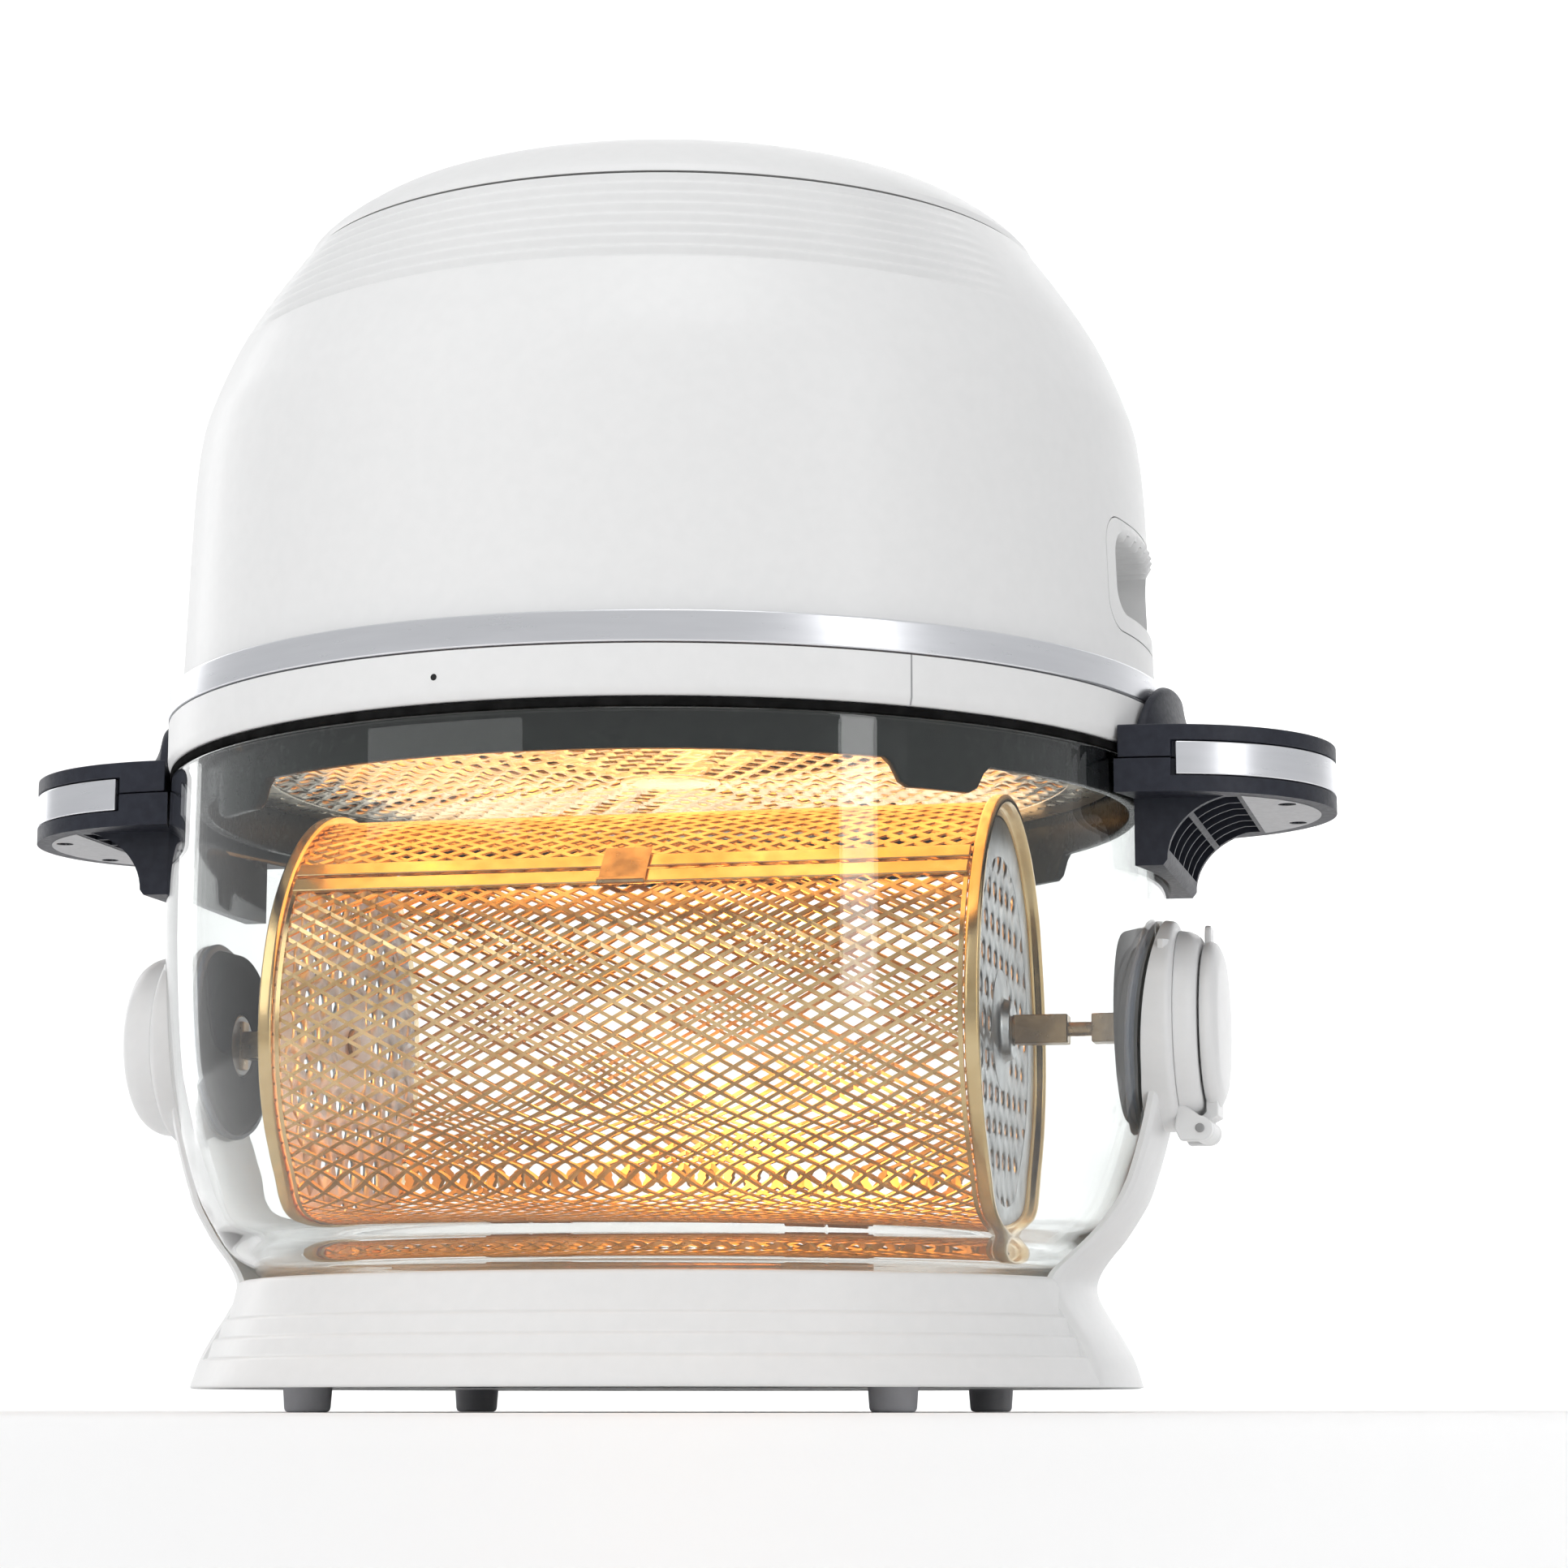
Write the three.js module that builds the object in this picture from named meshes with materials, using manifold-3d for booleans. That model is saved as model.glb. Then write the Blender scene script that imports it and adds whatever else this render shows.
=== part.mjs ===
// Glass-bowl rotisserie oven, in millimetres, +Z up, origin on the floor under the bowl's axis.
// The basket's axle lies along X, the front faces -Y. A heating head sits on a glass bowl that stands
// in a flared base with two arms; a mesh basket turns between two hubs at the ends of the arms.
import * as THREE from "three";
import { mergeVertices } from "three/addons/utils/BufferGeometryUtils.js";
import Module from "manifold-3d";

const wasm = await Module();
wasm.setup();

// ---------------------------------------------------------------- driving dimensions
const SEG = 32; // facets round the big turned parts
const GAP = 0.4; // working gap between neighbours
const AXLE_Z = 109.3; // height of the basket's axle
const BASE_BOTTOM = 6.6; // underside of the base skirt
const BASE_TOP = 37; // lip of the base
const GLASS_TOP = 182; // rim of the bowl
const RING_R = 148.1; // white lower ring of the head
const RING_BOTTOM = 184.8;
const RING_TOP = 198.7;
const BAND_R = 148.3; // silver trim band
const BAND_TOP = 207.8;
const FOOT_R = 6.8;
const FOOT_X = 82;
const FOOT_Y = 80.5;
const HUB_R = 30.5; // flange at the top of each arm
const PORT_R = 24.3; // round port in the glass for each hub
const BASKET_R = 66.2; // mesh drum, outside
const BASKET_RIM_R = 68;
const BASKET_HALF = 95; // inner face of the end caps' rims
const SEAM_DEG = 40; // degrees up from the front, where the door's free edge meets the fixed shell
const HINGE_DEG = -100; // the door's hinge, under the drum
const HINGE_R = 67.4; // door hinge axis from the axle
const INLET_Z = 217.2; // gland for the mains lead, at the back
const HANDLE_TOP = 189;
const HANDLE_SEAM = 179.6;
const HANDLE_BOTTOM = 170;
const HANDLE_A = 57; // half ellipse of the grip's plan
const HANDLE_B = 50;
const HANDLE_X0 = 140;
const TRIM_LOW = 174.7;
const TRIM_HIGH = 184.3;

// (radius, height) of the glass bowl
const GLASS_OUT = [
  [104, 33], [114, 35.6], [120, 39.6], [128.5, 47.2], [135.7, 60], [140.2, 74], [143.6, 88.5],
  [146.3, 110], [147.5, 137], [147.2, GLASS_TOP],
];
const GLASS_IN = [
  [143.2, GLASS_TOP], [143.5, 137], [142.3, 110], [139.6, 88.5], [134.6, 68], [127.3, 53],
  [116, 41.2], [102, 37],
];
// (radius, height) of the dome and its cap
const DOME_OUT = [
  [144.6, 208.2], [143.3, 235], [142.4, 255], [141, 279], [137.2, 292.9], [131.9, 306.3],
  [124.5, 319.5], [110.9, 338.6],
];
const DOME_IN = [[108.6, 337.2], [121.5, 319], [133.8, 294], [139, 265], [142, 208.2]];
const CAP_OUT = [[110.4, 339.1], [109.4, 341.2], [100.8, 349.4], [90, 355], [55, 364.4], [30, 368.2], [0, 370]];
const CAP_IN = [[108, 338.9], [96, 348.2], [88.8, 352], [54.6, 361.6], [0, 367.4]];
// (radius, height) of the arms, outside and inside
const ARM_OUT = [
  [138, 6.9], [135.2, 15.4], [131.8, 21.6], [127.6, 28], [124.6, 35], [126.8, 40], [133.8, 48.8],
  [140.2, 60], [144.9, 74], [148.4, 88.5], [151, 110], [151.9, 141],
];
const ARM_IN = [
  [148.2, 141], [146.9, 110], [144.2, 88.5], [140.8, 74], [136.3, 60], [128.9, 46.8], [121.5, 39],
  [120.6, 33], [123.8, 28], [128, 21.6], [131.5, 15.4], [134.2, 6.9],
];

// ---------------------------------------------------------------- solids
function solid(geometry) {
  const g = geometry.index ? geometry.toNonIndexed() : geometry.clone();
  for (const name of Object.keys(g.attributes)) if (name !== "position") g.deleteAttribute(name);
  const merged = mergeVertices(g, 1e-4);
  const src = merged.index.array;
  const tri = [];
  for (let i = 0; i < src.length; i += 3)
    if (src[i] !== src[i + 1] && src[i + 1] !== src[i + 2] && src[i] !== src[i + 2])
      tri.push(src[i], src[i + 1], src[i + 2]);
  const p = merged.attributes.position.array;
  let volume = 0;
  for (let i = 0; i < tri.length; i += 3) {
    const [a, b, c] = [3 * tri[i], 3 * tri[i + 1], 3 * tri[i + 2]];
    volume +=
      p[a] * (p[b + 1] * p[c + 2] - p[b + 2] * p[c + 1]) +
      p[a + 1] * (p[b + 2] * p[c] - p[b] * p[c + 2]) +
      p[a + 2] * (p[b] * p[c + 1] - p[b + 1] * p[c]);
  }
  if (volume < 0) for (let i = 0; i < tri.length; i += 3) [tri[i + 1], tri[i + 2]] = [tri[i + 2], tri[i + 1]];
  return new wasm.Manifold(
    new wasm.Mesh({ numProp: 3, vertProperties: new Float32Array(p), triVerts: new Uint32Array(tri) }),
  );
}

function geometryOf(made) {
  const m = made.getMesh();
  const v = new Float32Array(m.numVert * 3);
  for (let i = 0; i < m.numVert; i++) v.set(m.vertProperties.subarray(i * m.numProp, i * m.numProp + 3), 3 * i);
  const g = new THREE.BufferGeometry();
  g.setAttribute("position", new THREE.BufferAttribute(v, 3));
  g.setIndex(new THREE.BufferAttribute(new Uint32Array(m.triVerts), 1));
  g.computeVertexNormals();
  return g;
}

const union = (...s) => s.reduce((a, b) => a.add(b));
const cut = (a, ...s) => s.reduce((x, b) => x.subtract(b), a);
const both = (a, ...s) => s.reduce((x, b) => x.intersect(b), a);

// a closed (radius, height) loop, or one that starts and ends on the axis, turned about Z
function turned(points, segments = SEG) {
  const loop = points.map(([r, z]) => new THREE.Vector2(r, z));
  const first = points[0], last = points[points.length - 1];
  if (!(first[0] === 0 && last[0] === 0)) loop.push(new THREE.Vector2(first[0], first[1]));
  return solid(new THREE.LatheGeometry(loop, segments).rotateX(Math.PI / 2));
}
// the same, turned about the line along X through the axle, with points (x, radius)
function turnedX(points, segments = 32) {
  const loop = points.map(([x, r]) => new THREE.Vector2(r, x));
  const first = points[0], last = points[points.length - 1];
  if (!(first[1] === 0 && last[1] === 0)) loop.push(new THREE.Vector2(first[1], first[0]));
  const g = new THREE.LatheGeometry(loop, segments).rotateZ(-Math.PI / 2).translate(0, 0, AXLE_Z);
  return solid(g);
}
function box(x0, x1, y0, y1, z0, z1) {
  return solid(
    new THREE.BoxGeometry(x1 - x0, y1 - y0, z1 - z0).translate((x0 + x1) / 2, (y0 + y1) / 2, (z0 + z1) / 2),
  );
}
function rodX(r, x0, x1, y, z, sides = 16) {
  return solid(
    new THREE.CylinderGeometry(r, r, x1 - x0, sides).rotateZ(Math.PI / 2).translate((x0 + x1) / 2, y, z),
  );
}
function rodY(r, y0, y1, x, z, sides = 16) {
  return solid(new THREE.CylinderGeometry(r, r, y1 - y0, sides).translate(x, (y0 + y1) / 2, z));
}
function rodZ(r, z0, z1, x, y, sides = 16) {
  return solid(new THREE.CylinderGeometry(r, r, z1 - z0, sides).rotateX(Math.PI / 2).translate(x, y, (z0 + z1) / 2));
}
// an outline of [u, v] points pushed along an axis: "z" takes x,y; "x" takes y,z; "y" takes x,z
function slab(points, axis, from, to) {
  const shape = new THREE.Shape(points.map(([u, v]) => new THREE.Vector2(u, v)));
  const g = new THREE.ExtrudeGeometry(shape, { depth: to - from, bevelEnabled: false, steps: 1 });
  g.translate(0, 0, from);
  if (axis === "x") g.applyMatrix4(new THREE.Matrix4().set(0, 0, 1, 0, 1, 0, 0, 0, 0, 1, 0, 0, 0, 0, 0, 1));
  if (axis === "y") g.applyMatrix4(new THREE.Matrix4().set(1, 0, 0, 0, 0, 0, 1, 0, 0, 1, 0, 0, 0, 0, 0, 1));
  return solid(g);
}
const turnZ = (s, degrees) => s.rotate([0, 0, degrees]);
const mirrorX = (s) => s.mirror([1, 0, 0]);

function roundRect(cx, cy, w, h, r, n = 4) {
  const pts = [];
  for (const [sx, sy, a0] of [[1, -1, -90], [1, 1, 0], [-1, 1, 90], [-1, -1, 180]])
    for (let i = 0; i <= n; i++) {
      const a = ((a0 + (90 * i) / n) * Math.PI) / 180;
      pts.push([cx + sx * (w - r) + r * Math.cos(a), cy + sy * (h - r) + r * Math.sin(a)]);
    }
  return pts;
}
// inside the glass's outer face, grown by d, as one full turned solid
function outsideGlass(d) {
  return turned([[0, 33 - d], ...GLASS_OUT.map(([r, z]) => [r + d, z]), [0, GLASS_TOP]]);
}
function insideGlass(d) {
  const inner = GLASS_IN.slice().reverse();
  return turned([[0, 37 + d], ...inner.map(([r, z]) => [r - d, z + (z < 45 ? d : 0)]), [0, GLASS_TOP]]);
}

// ---------------------------------------------------------------- materials
const white = new THREE.MeshStandardMaterial({ color: 0xf2f2f0, roughness: 0.35, metalness: 0 });
const black = new THREE.MeshStandardMaterial({ color: 0x2b2d34, roughness: 0.55, metalness: 0 });
const silver = new THREE.MeshStandardMaterial({ color: 0xb8bcc4, roughness: 0.25, metalness: 1 });
const rubber = new THREE.MeshStandardMaterial({ color: 0x26282c, roughness: 0.7, metalness: 0 });
const footRubber = new THREE.MeshStandardMaterial({ color: 0x8f9096, roughness: 0.7, metalness: 0 });
const steel = new THREE.MeshStandardMaterial({ color: 0xc4b38c, roughness: 0.3, metalness: 1 });
const darkSteel = new THREE.MeshStandardMaterial({ color: 0x77746c, roughness: 0.4, metalness: 1 });
const glass = new THREE.MeshStandardMaterial({
  color: 0xe8f0ee, roughness: 0.03, metalness: 0, transparent: true, opacity: 0.3,
});
const heater = new THREE.MeshStandardMaterial({ color: 0xd8782c, roughness: 0.5, metalness: 0 });
const board = new THREE.MeshStandardMaterial({ color: 0x1f5a34, roughness: 0.6, metalness: 0 });
const panelBlack = new THREE.MeshStandardMaterial({ color: 0x101114, roughness: 0.08, metalness: 0 });

const oven = new THREE.Group();
function add(name, made, material, parent = oven) {
  const mesh = new THREE.Mesh(geometryOf(made), material);
  mesh.name = name;
  parent.add(mesh);
  return mesh;
}
const stand = new THREE.Group();
const bowl = new THREE.Group();
const basket = new THREE.Group();
const door = new THREE.Group();
const latch = new THREE.Group();
const head = new THREE.Group();
const fan = new THREE.Group();
oven.add(stand, bowl, basket, door, latch, head, fan);

// ---------------------------------------------------------------- base and arms
function armOutline(g) {
  const half = [
    [40, 6.9], [37.4, 36], [36, 38.6], [31, 43], [27.8, 49], [24.8, 56], [23, 63], [22.6, 78],
    [22.8, 88.9],
  ].map(([y, z], i) => [y + g, i === 0 ? z - g : z]);
  const pts = half.slice();
  for (let a = -36; a <= 216; a += 14) {
    const t = (a * Math.PI) / 180;
    pts.push([(HUB_R + g) * Math.cos(t), AXLE_Z + (HUB_R + g) * Math.sin(t)]);
  }
  pts.push(...half.slice().reverse().map(([y, z]) => [-y, z]));
  return pts;
}
const armRegion = turned([
  ...ARM_OUT.map(([r, z]) => [r + 8, z - (z < 7 ? 1.5 : 0)]),
  ...ARM_IN.map(([r, z]) => [r - GAP, z - (z < 7 ? 1.5 : 0)]),
]);
const armCutRight = both(armRegion, slab(armOutline(GAP), "x", 90, 175));
const armCutLeft = mirrorX(armCutRight);

const baseRing = cut(
  turned([
    [0, 27], [117, 27], [124.6, 17], [131.6, BASE_BOTTOM], [137.4, BASE_BOTTOM],
    [137.4, 7.6], [134.2, 15.1], [133, 15.7], [131.4, 20.6], [130.2, 21.2], [128.6, 26.4], [127.2, 27],
    [124.9, 36.3], [124.2, BASE_TOP], [118.3, BASE_TOP], [117.4, 34.2], [106, 30], [0, 30],
  ]),
  armCutRight,
  armCutLeft,
);
add("base_ring", baseRing, white, stand);
add(
  "base_plate",
  turned([[0, 7.3], [127, 7.3], [127, 9.6], [0, 9.6]], 32),
  white,
  stand,
);
add("rest_pad", turned([[62, 30.3], [98, 30.3], [98, 32.6], [62, 32.6]], 24), rubber, stand);
for (const [name, sx, sy] of [
  ["foot_front_left", -1, -1], ["foot_front_right", 1, -1], ["foot_rear_left", -1, 1], ["foot_rear_right", 1, 1],
])
  add(name, rodZ(FOOT_R, 0, 7, sx * FOOT_X, sy * FOOT_Y, 16), footRubber, stand);

const armShell = both(turned([...ARM_OUT, ...ARM_IN]), slab(armOutline(0), "x", 90, 175));
const flange = cut(
  turnedX([[136, 0], [136, HUB_R], [150.6, HUB_R], [151.6, HUB_R - 1], [151.6, 0]], 28),
  outsideGlass(0.5),
);
const arm = cut(union(armShell, flange), rodX(PORT_R - 0.2, 120, 170, 0, AXLE_Z, 24));
add("arm_right", arm, white, stand);
add("arm_left", mirrorX(arm), white, stand);

// ---------------------------------------------------------------- hubs
// the right cover carries the hinge lugs of its flap
const FLAP_X = 157.6;
const FLAP_Z = 79.2;
const lug = (y0, y1) =>
  union(rodY(3.6, y0, y1, FLAP_X, FLAP_Z, 14), box(151.9, FLAP_X, y0, y1, FLAP_Z - 3.4, 88));
const coverRight = cut(
  union(
    turnedX([
      [149.2, 0], [149.2, 20], [151.9, 20], [151.9, 27.2], [155, 27], [158.2, 23.6],
      [158.2, 18.5], [155.4, 18], [155.4, 0],
    ], 28),
    lug(-13.4, -8.2),
    lug(8.2, 13.4),
  ),
  rodY(1.65, -20, 20, FLAP_X, FLAP_Z, 12),
);
add("hub_cover_right", coverRight, white, stand);
add("flap_pin", rodY(1.3, -14, 14, FLAP_X, FLAP_Z, 12), darkSteel, stand);
const flap = cut(
  union(
    turnedX([[158.8, 0], [158.8, 24], [162, 24], [163.9, 20], [164.8, 0]], 28),
    slab([[-5, AXLE_Z + 20], [5, AXLE_Z + 20], [4.2, AXLE_Z + 28.4], [-4.2, AXLE_Z + 28.4]], "x", 158.9, 160.7),
    box(158.9, 162.4, -7.7, 7.7, FLAP_Z, 92),
    rodY(3.6, -7.7, 7.7, FLAP_X, FLAP_Z, 14),
    box(FLAP_X, 162.4, -7.7, 7.7, FLAP_Z - 3.5, FLAP_Z + 2),
  ),
  rodY(1.65, -20, 20, FLAP_X, FLAP_Z, 12),
);
add("hub_flap", flap, white, stand);
const coverLeft = turnedX([
  [-151.9, 21.8], [-151.9, 27.2], [-159.6, 26], [-163, 22], [-164.8, 0], [-163.2, 0], [-161.4, 20.6],
].reverse(), 28);
add("hub_cover_left", coverLeft, white, stand);
const motorBody = cut(
  turnedX([[-161, 0], [-161, 20], [-152.4, 20], [-149.8, 14], [-149.8, 0]], 20),
  rodX(3.4, -158, -140, 0, AXLE_Z, 14),
);
add("spit_motor", motorBody, darkSteel, stand);

// silicone port seals: a thick collar inside the glass and a stem through the port
const sealBody = union(
  both(turnedX([[133.6, 0], [133.6, 26.6], [134.6, 27.6], [143.4, 29.4], [143.4, 0]], 24), insideGlass(0.4)),
  turnedX([[135, 0], [135, PORT_R - 0.7], [148.6, PORT_R - 0.7], [148.6, 0]], 20),
);
// right: a slot open at the top holds the axle's bush
const bushSlot = union(
  rodX(6, 133, 139.2, 0, AXLE_Z, 16),
  box(133, 139.2, -6, 6, AXLE_Z, AXLE_Z + 40),
);
add("seal_right", cut(sealBody, bushSlot), rubber, stand);
// left: a round recess for the drive coupler, a bore for its shaft, and a slot for the axle's tang
const sealLeft = cut(
  mirrorX(sealBody),
  rodX(10.4, -139.4, -133, 0, AXLE_Z, 20),
  rodX(3.8, -160, -130, 0, AXLE_Z, 16),
  box(-139.4, -133, -3.4, 3.4, AXLE_Z, AXLE_Z + 40),
);
add("seal_left", sealLeft, rubber, stand);
const coupler = union(
  cut(
    turnedX([[-139, 0], [-139, 9.9], [-134.2, 9.9], [-133.8, 9.4], [-133.8, 0]], 16),
    box(-138, -130, -2.9, 2.9, AXLE_Z - 12, AXLE_Z + 12),
  ),
  rodX(3, -157.5, -138.8, 0, AXLE_Z, 14),
);
add("drive_coupler", coupler, darkSteel, stand);

// ---------------------------------------------------------------- glass bowl
const glassWall = turned([[0, 33], ...GLASS_OUT, ...GLASS_IN, [0, 37]]);
add(
  "glass_bowl",
  cut(glassWall, rodX(PORT_R, -170, -110, 0, AXLE_Z, 24), rodX(PORT_R, 110, 170, 0, AXLE_Z, 24)),
  glass,
  bowl,
);

// ---------------------------------------------------------------- handles
function gripPlan(d, n = 14) {
  const pts = [];
  for (let i = 0; i <= n; i++) {
    const t = -Math.PI / 2 + (Math.PI * i) / n;
    pts.push([HANDLE_X0 + (HANDLE_A - d) * Math.cos(t) ** 0.92, (HANDLE_B - d) * Math.sin(t)]);
  }
  pts.push([110, HANDLE_B - d], [110, -(HANDLE_B - d)]);
  return pts;
}
const ringClear = turned([[0, 120], [148.9, 120], [148.9, 215], [0, 215]]);
const glassClear = turned([[0, 120], [148.0, 120], [148.0, 215], [0, 215]]);
const trimZone = (d, z0, z1, x0) =>
  both(cut(slab(gripPlan(-6), "z", z0, z1), slab(gripPlan(1.6 + d), "z", z0 - 1, z1 + 1)), box(x0, 230, -80, 80, z0, z1));
const trimCut = trimZone(0.35, TRIM_LOW - 0.35, TRIM_HIGH + 0.35, 155);
const thumbOutline = [];
for (let a = 0; a <= 180; a += 15) {
  const t = (a * Math.PI) / 180;
  thumbOutline.push([38 * Math.sign(Math.cos(t)) * Math.abs(Math.cos(t)) ** 0.75, 187 + 17 * Math.sin(t) ** 0.8]);
}
const thumb = both(
  turned([
    [148.9, 186], [148.9, 204], [150.2, 205], [151.9, 204], [152.6, 198], [154, 193], [157.5, 189.2], [159.5, 186],
  ]),
  slab(thumbOutline, "x", 120, 175),
);
const handleTop = cut(
  union(
    slab(gripPlan(0.8), "z", HANDLE_TOP - 1.2, HANDLE_TOP),
    slab(gripPlan(0), "z", HANDLE_SEAM + 0.2, HANDLE_TOP - 1.2),
    thumb,
  ),
  ringClear,
  trimCut,
);
// the bracket under the grip follows the glass and is coved, with ribs
const bracketSide = [
  [141, HANDLE_SEAM - 0.2], [141, 150.5], [151, 150.5], [152.6, 152], [155, 157.5], [159, 162.6], [165, 167.2],
  [174, HANDLE_BOTTOM + 0.6], [174, HANDLE_SEAM - 0.2],
];
const ribPockets = [];
for (const [y0, y1] of [[-27, -18.6], [-17, -9.6], [-8, -0.8], [0.8, 8], [9.6, 17], [18.6, 27]])
  ribPockets.push(
    slab([[152.2, 160], [152.2, 154], [154.4, 150], [170, 150], [170, 166.6], [161, 166.6]], "y", y0, y1),
  );
const handleBottom = cut(
  union(
    slab(gripPlan(0), "z", HANDLE_BOTTOM + 1.2, HANDLE_SEAM - 0.2),
    slab(gripPlan(1.2), "z", HANDLE_BOTTOM, HANDLE_BOTTOM + 1.2),
    slab(bracketSide, "y", -37, 37),
  ),
  glassClear,
  trimCut,
  ...ribPockets,
  rodZ(2.6, 160, 176, 184.4, 18, 12),
  rodZ(2.6, 160, 176, 184.4, -18, 12),
);
const trim = trimZone(0, TRIM_LOW, TRIM_HIGH, 155.4);
const trimBand = both(trim, slab(gripPlan(0), "z", 160, 200));
for (const side of ["right", "left"]) {
  const place = side === "right" ? (s) => s : mirrorX;
  add(`handle_${side}_top`, place(handleTop), black, bowl);
  add(`handle_${side}_bottom`, place(handleBottom), black, bowl);
  add(`handle_${side}_trim`, place(trimBand), silver, bowl);
  for (const [tag, y] of [["front", -18], ["rear", 18]])
    add(`handle_${side}_screw_${tag}`, place(rodZ(2.2, 172.4, 175.7, 184.4, y, 12)), darkSteel, bowl);
}

// ---------------------------------------------------------------- basket
const at = (deg, r) => {
  const t = (deg * Math.PI) / 180;
  return [-r * Math.cos(t), AXLE_Z + r * Math.sin(t)]; // [y, z], measured up from the front
};
function arcShell(a0, a1, r0, r1, x0, x1, step = 8) {
  const n = Math.max(2, Math.ceil((a1 - a0) / step));
  const pts = [];
  for (let i = 0; i <= n; i++) pts.push(at(a0 + ((a1 - a0) * i) / n, r1));
  for (let i = n; i >= 0; i--) pts.push(at(a0 + ((a1 - a0) * i) / n, r0));
  return slab(pts, "x", x0, x1);
}
const [hingeY, hingeZ] = at(HINGE_DEG, HINGE_R);
// knuckles of the door's hinge: the rod's hole, and a web to the sheet on one side (+1 door, -1 shell)
const knuckle = (x0, x1, side) =>
  union(
    rodX(1.9, x0, x1, hingeY, hingeZ, 10),
    slab([
      at(HINGE_DEG + side * 0.8, 64.9), at(HINGE_DEG + side * 1.4, 67.6), at(HINGE_DEG + side * 5.4, 66.1),
      at(HINGE_DEG + side * 5.4, 65.3),
    ], "x", x0, x1),
  );
const knuckleSpace = (x0, x1) => rodX(2.35, x0, x1, hingeY, hingeZ, 12);
const rodHole = rodX(1.4, -100, 100, hingeY, hingeZ, 8);
const fixedShell = cut(
  union(
    cut(
      arcShell(SEAM_DEG + 0.4, 360 + HINGE_DEG - 0.9, BASKET_R - 1, BASKET_R, -97.4, 97.4),
      knuckleSpace(32, 45),
      knuckleSpace(-45, -32),
    ),
    knuckle(-57.5, -45.5, -1),
    knuckle(45.5, 57.5, -1),
  ),
  rodHole,
);
add("basket_shell", fixedShell, steel, basket);
const capHoles = [];
for (const [n, r, phase] of [[6, 36, 0]])
  for (let i = 0; i < n; i++) {
    const t = ((phase + (360 * i) / n) * Math.PI) / 180;
    capHoles.push(rodX(8, 90, 108, r * Math.cos(t), AXLE_Z + r * Math.sin(t), 6));
  }
const cap = cut(
  turnedX([
    [97.8, 4.6], [97.8, 66.7], [BASKET_HALF, 66.7], [BASKET_HALF, BASKET_RIM_R], [102.6, BASKET_RIM_R],
    [103, 67.4], [103, 65.4], [99.3, 64.6], [99.3, 9], [102.6, 8.4], [102.6, 4.6],
  ], 28),
  ...capHoles,
);
add("basket_cap_right", cap, darkSteel, basket);
add("basket_cap_left", mirrorX(cap), darkSteel, basket);
// square axle stubs with a turned neck; the right one ends in a round journal, the left in a flat tang
const q = 4.2;
const barPart = (x0, x1) => box(x0, x1, -q, q, AXLE_Z - q, AXLE_Z + q);
const clip = union(rodX(6.4, 96, 97.4, 0, AXLE_Z, 12), rodX(4.2, 97, 103.2, 0, AXLE_Z, 12));
const stub = union(
  clip,
  rodX(5.4, 103, 108.4, 0, AXLE_Z, 12),
  barPart(108.2, 118.6),
  rodX(2.1, 118.4, 125.6, 0, AXLE_Z, 10),
  barPart(125.4, 133.2),
);
add("axle_right", union(stub, rodX(3.9, 133, 138.6, 0, AXLE_Z, 12)), darkSteel, basket);
add(
  "axle_left",
  union(mirrorX(stub), box(-137.6, -133, -2.5, 2.5, AXLE_Z - 7.5, AXLE_Z + 7.5)),
  darkSteel,
  basket,
);
add("axle_bush", turnedX([[134, 4.2], [134, 5.6], [138.4, 5.6], [138.4, 4.2]], 16), rubber, basket);
add("basket_seam_bar", arcShell(SEAM_DEG + 0.4, SEAM_DEG + 6, 66.5, 67.9, -94.6, 94.6, 3), darkSteel, basket);
add("hinge_rod", rodX(1.1, -59, 59, hingeY, hingeZ, 8), darkSteel, basket);

const doorShell = cut(
  union(
    cut(
      arcShell(HINGE_DEG + 1, SEAM_DEG - 0.8, BASKET_R - 1, BASKET_R, -94.5, 94.5),
      knuckleSpace(45, 58),
      knuckleSpace(-58, -45),
    ),
    knuckle(-44.5, -32.5, 1),
    knuckle(32.5, 44.5, 1),
  ),
  rodHole,
);
add("basket_door", doorShell, steel, door);
add("door_bar", arcShell(SEAM_DEG - 6.2, SEAM_DEG - 0.8, 66.5, 67.9, -94.4, 94.4, 3), darkSteel, door);
// spring clip on the door's bar that laps over the fixed bar
add(
  "door_latch",
  union(
    arcShell(SEAM_DEG - 5.6, SEAM_DEG + 6, 68.3, 69.3, -7, 7, 3),
    rodX(1.1, -7, 7, ...at(SEAM_DEG - 5.8, 69.2), 10),
  ),
  darkSteel,
  latch,
);

// ---------------------------------------------------------------- head
add(
  "rim_gasket",
  turned([[142.4, GLASS_TOP + 0.3], [147.3, GLASS_TOP + 0.3], [147.3, 184.4], [142.4, 184.4]]),
  rubber,
  head,
);
add(
  "lower_ring",
  turned([[139.8, 185.2], [142, RING_BOTTOM], [147.3, RING_BOTTOM], [RING_R, 187.4], [RING_R, RING_TOP], [139.8, RING_TOP]]),
  white,
  head,
);
add(
  "trim_band",
  turned([[140, RING_TOP + 0.3], [BAND_R, RING_TOP + 0.3], [BAND_R, 206.6], [147.4, BAND_TOP], [140, BAND_TOP]]),
  silver,
  head,
);
const gripOutline = (d) => roundRect(0, 235.5, 41 + d, 16.5 + d, 9 + d, 3);
const gripInner = roundRect(0, 236.5, 35, 12.2, 8, 3);
const ventOutline = (d) => roundRect(0, 241, 32 + d, 12.4 + d, 6 + d);
const inletHole = rodY(6.5, 120, 160, 0, INLET_Z, 12);
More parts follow.
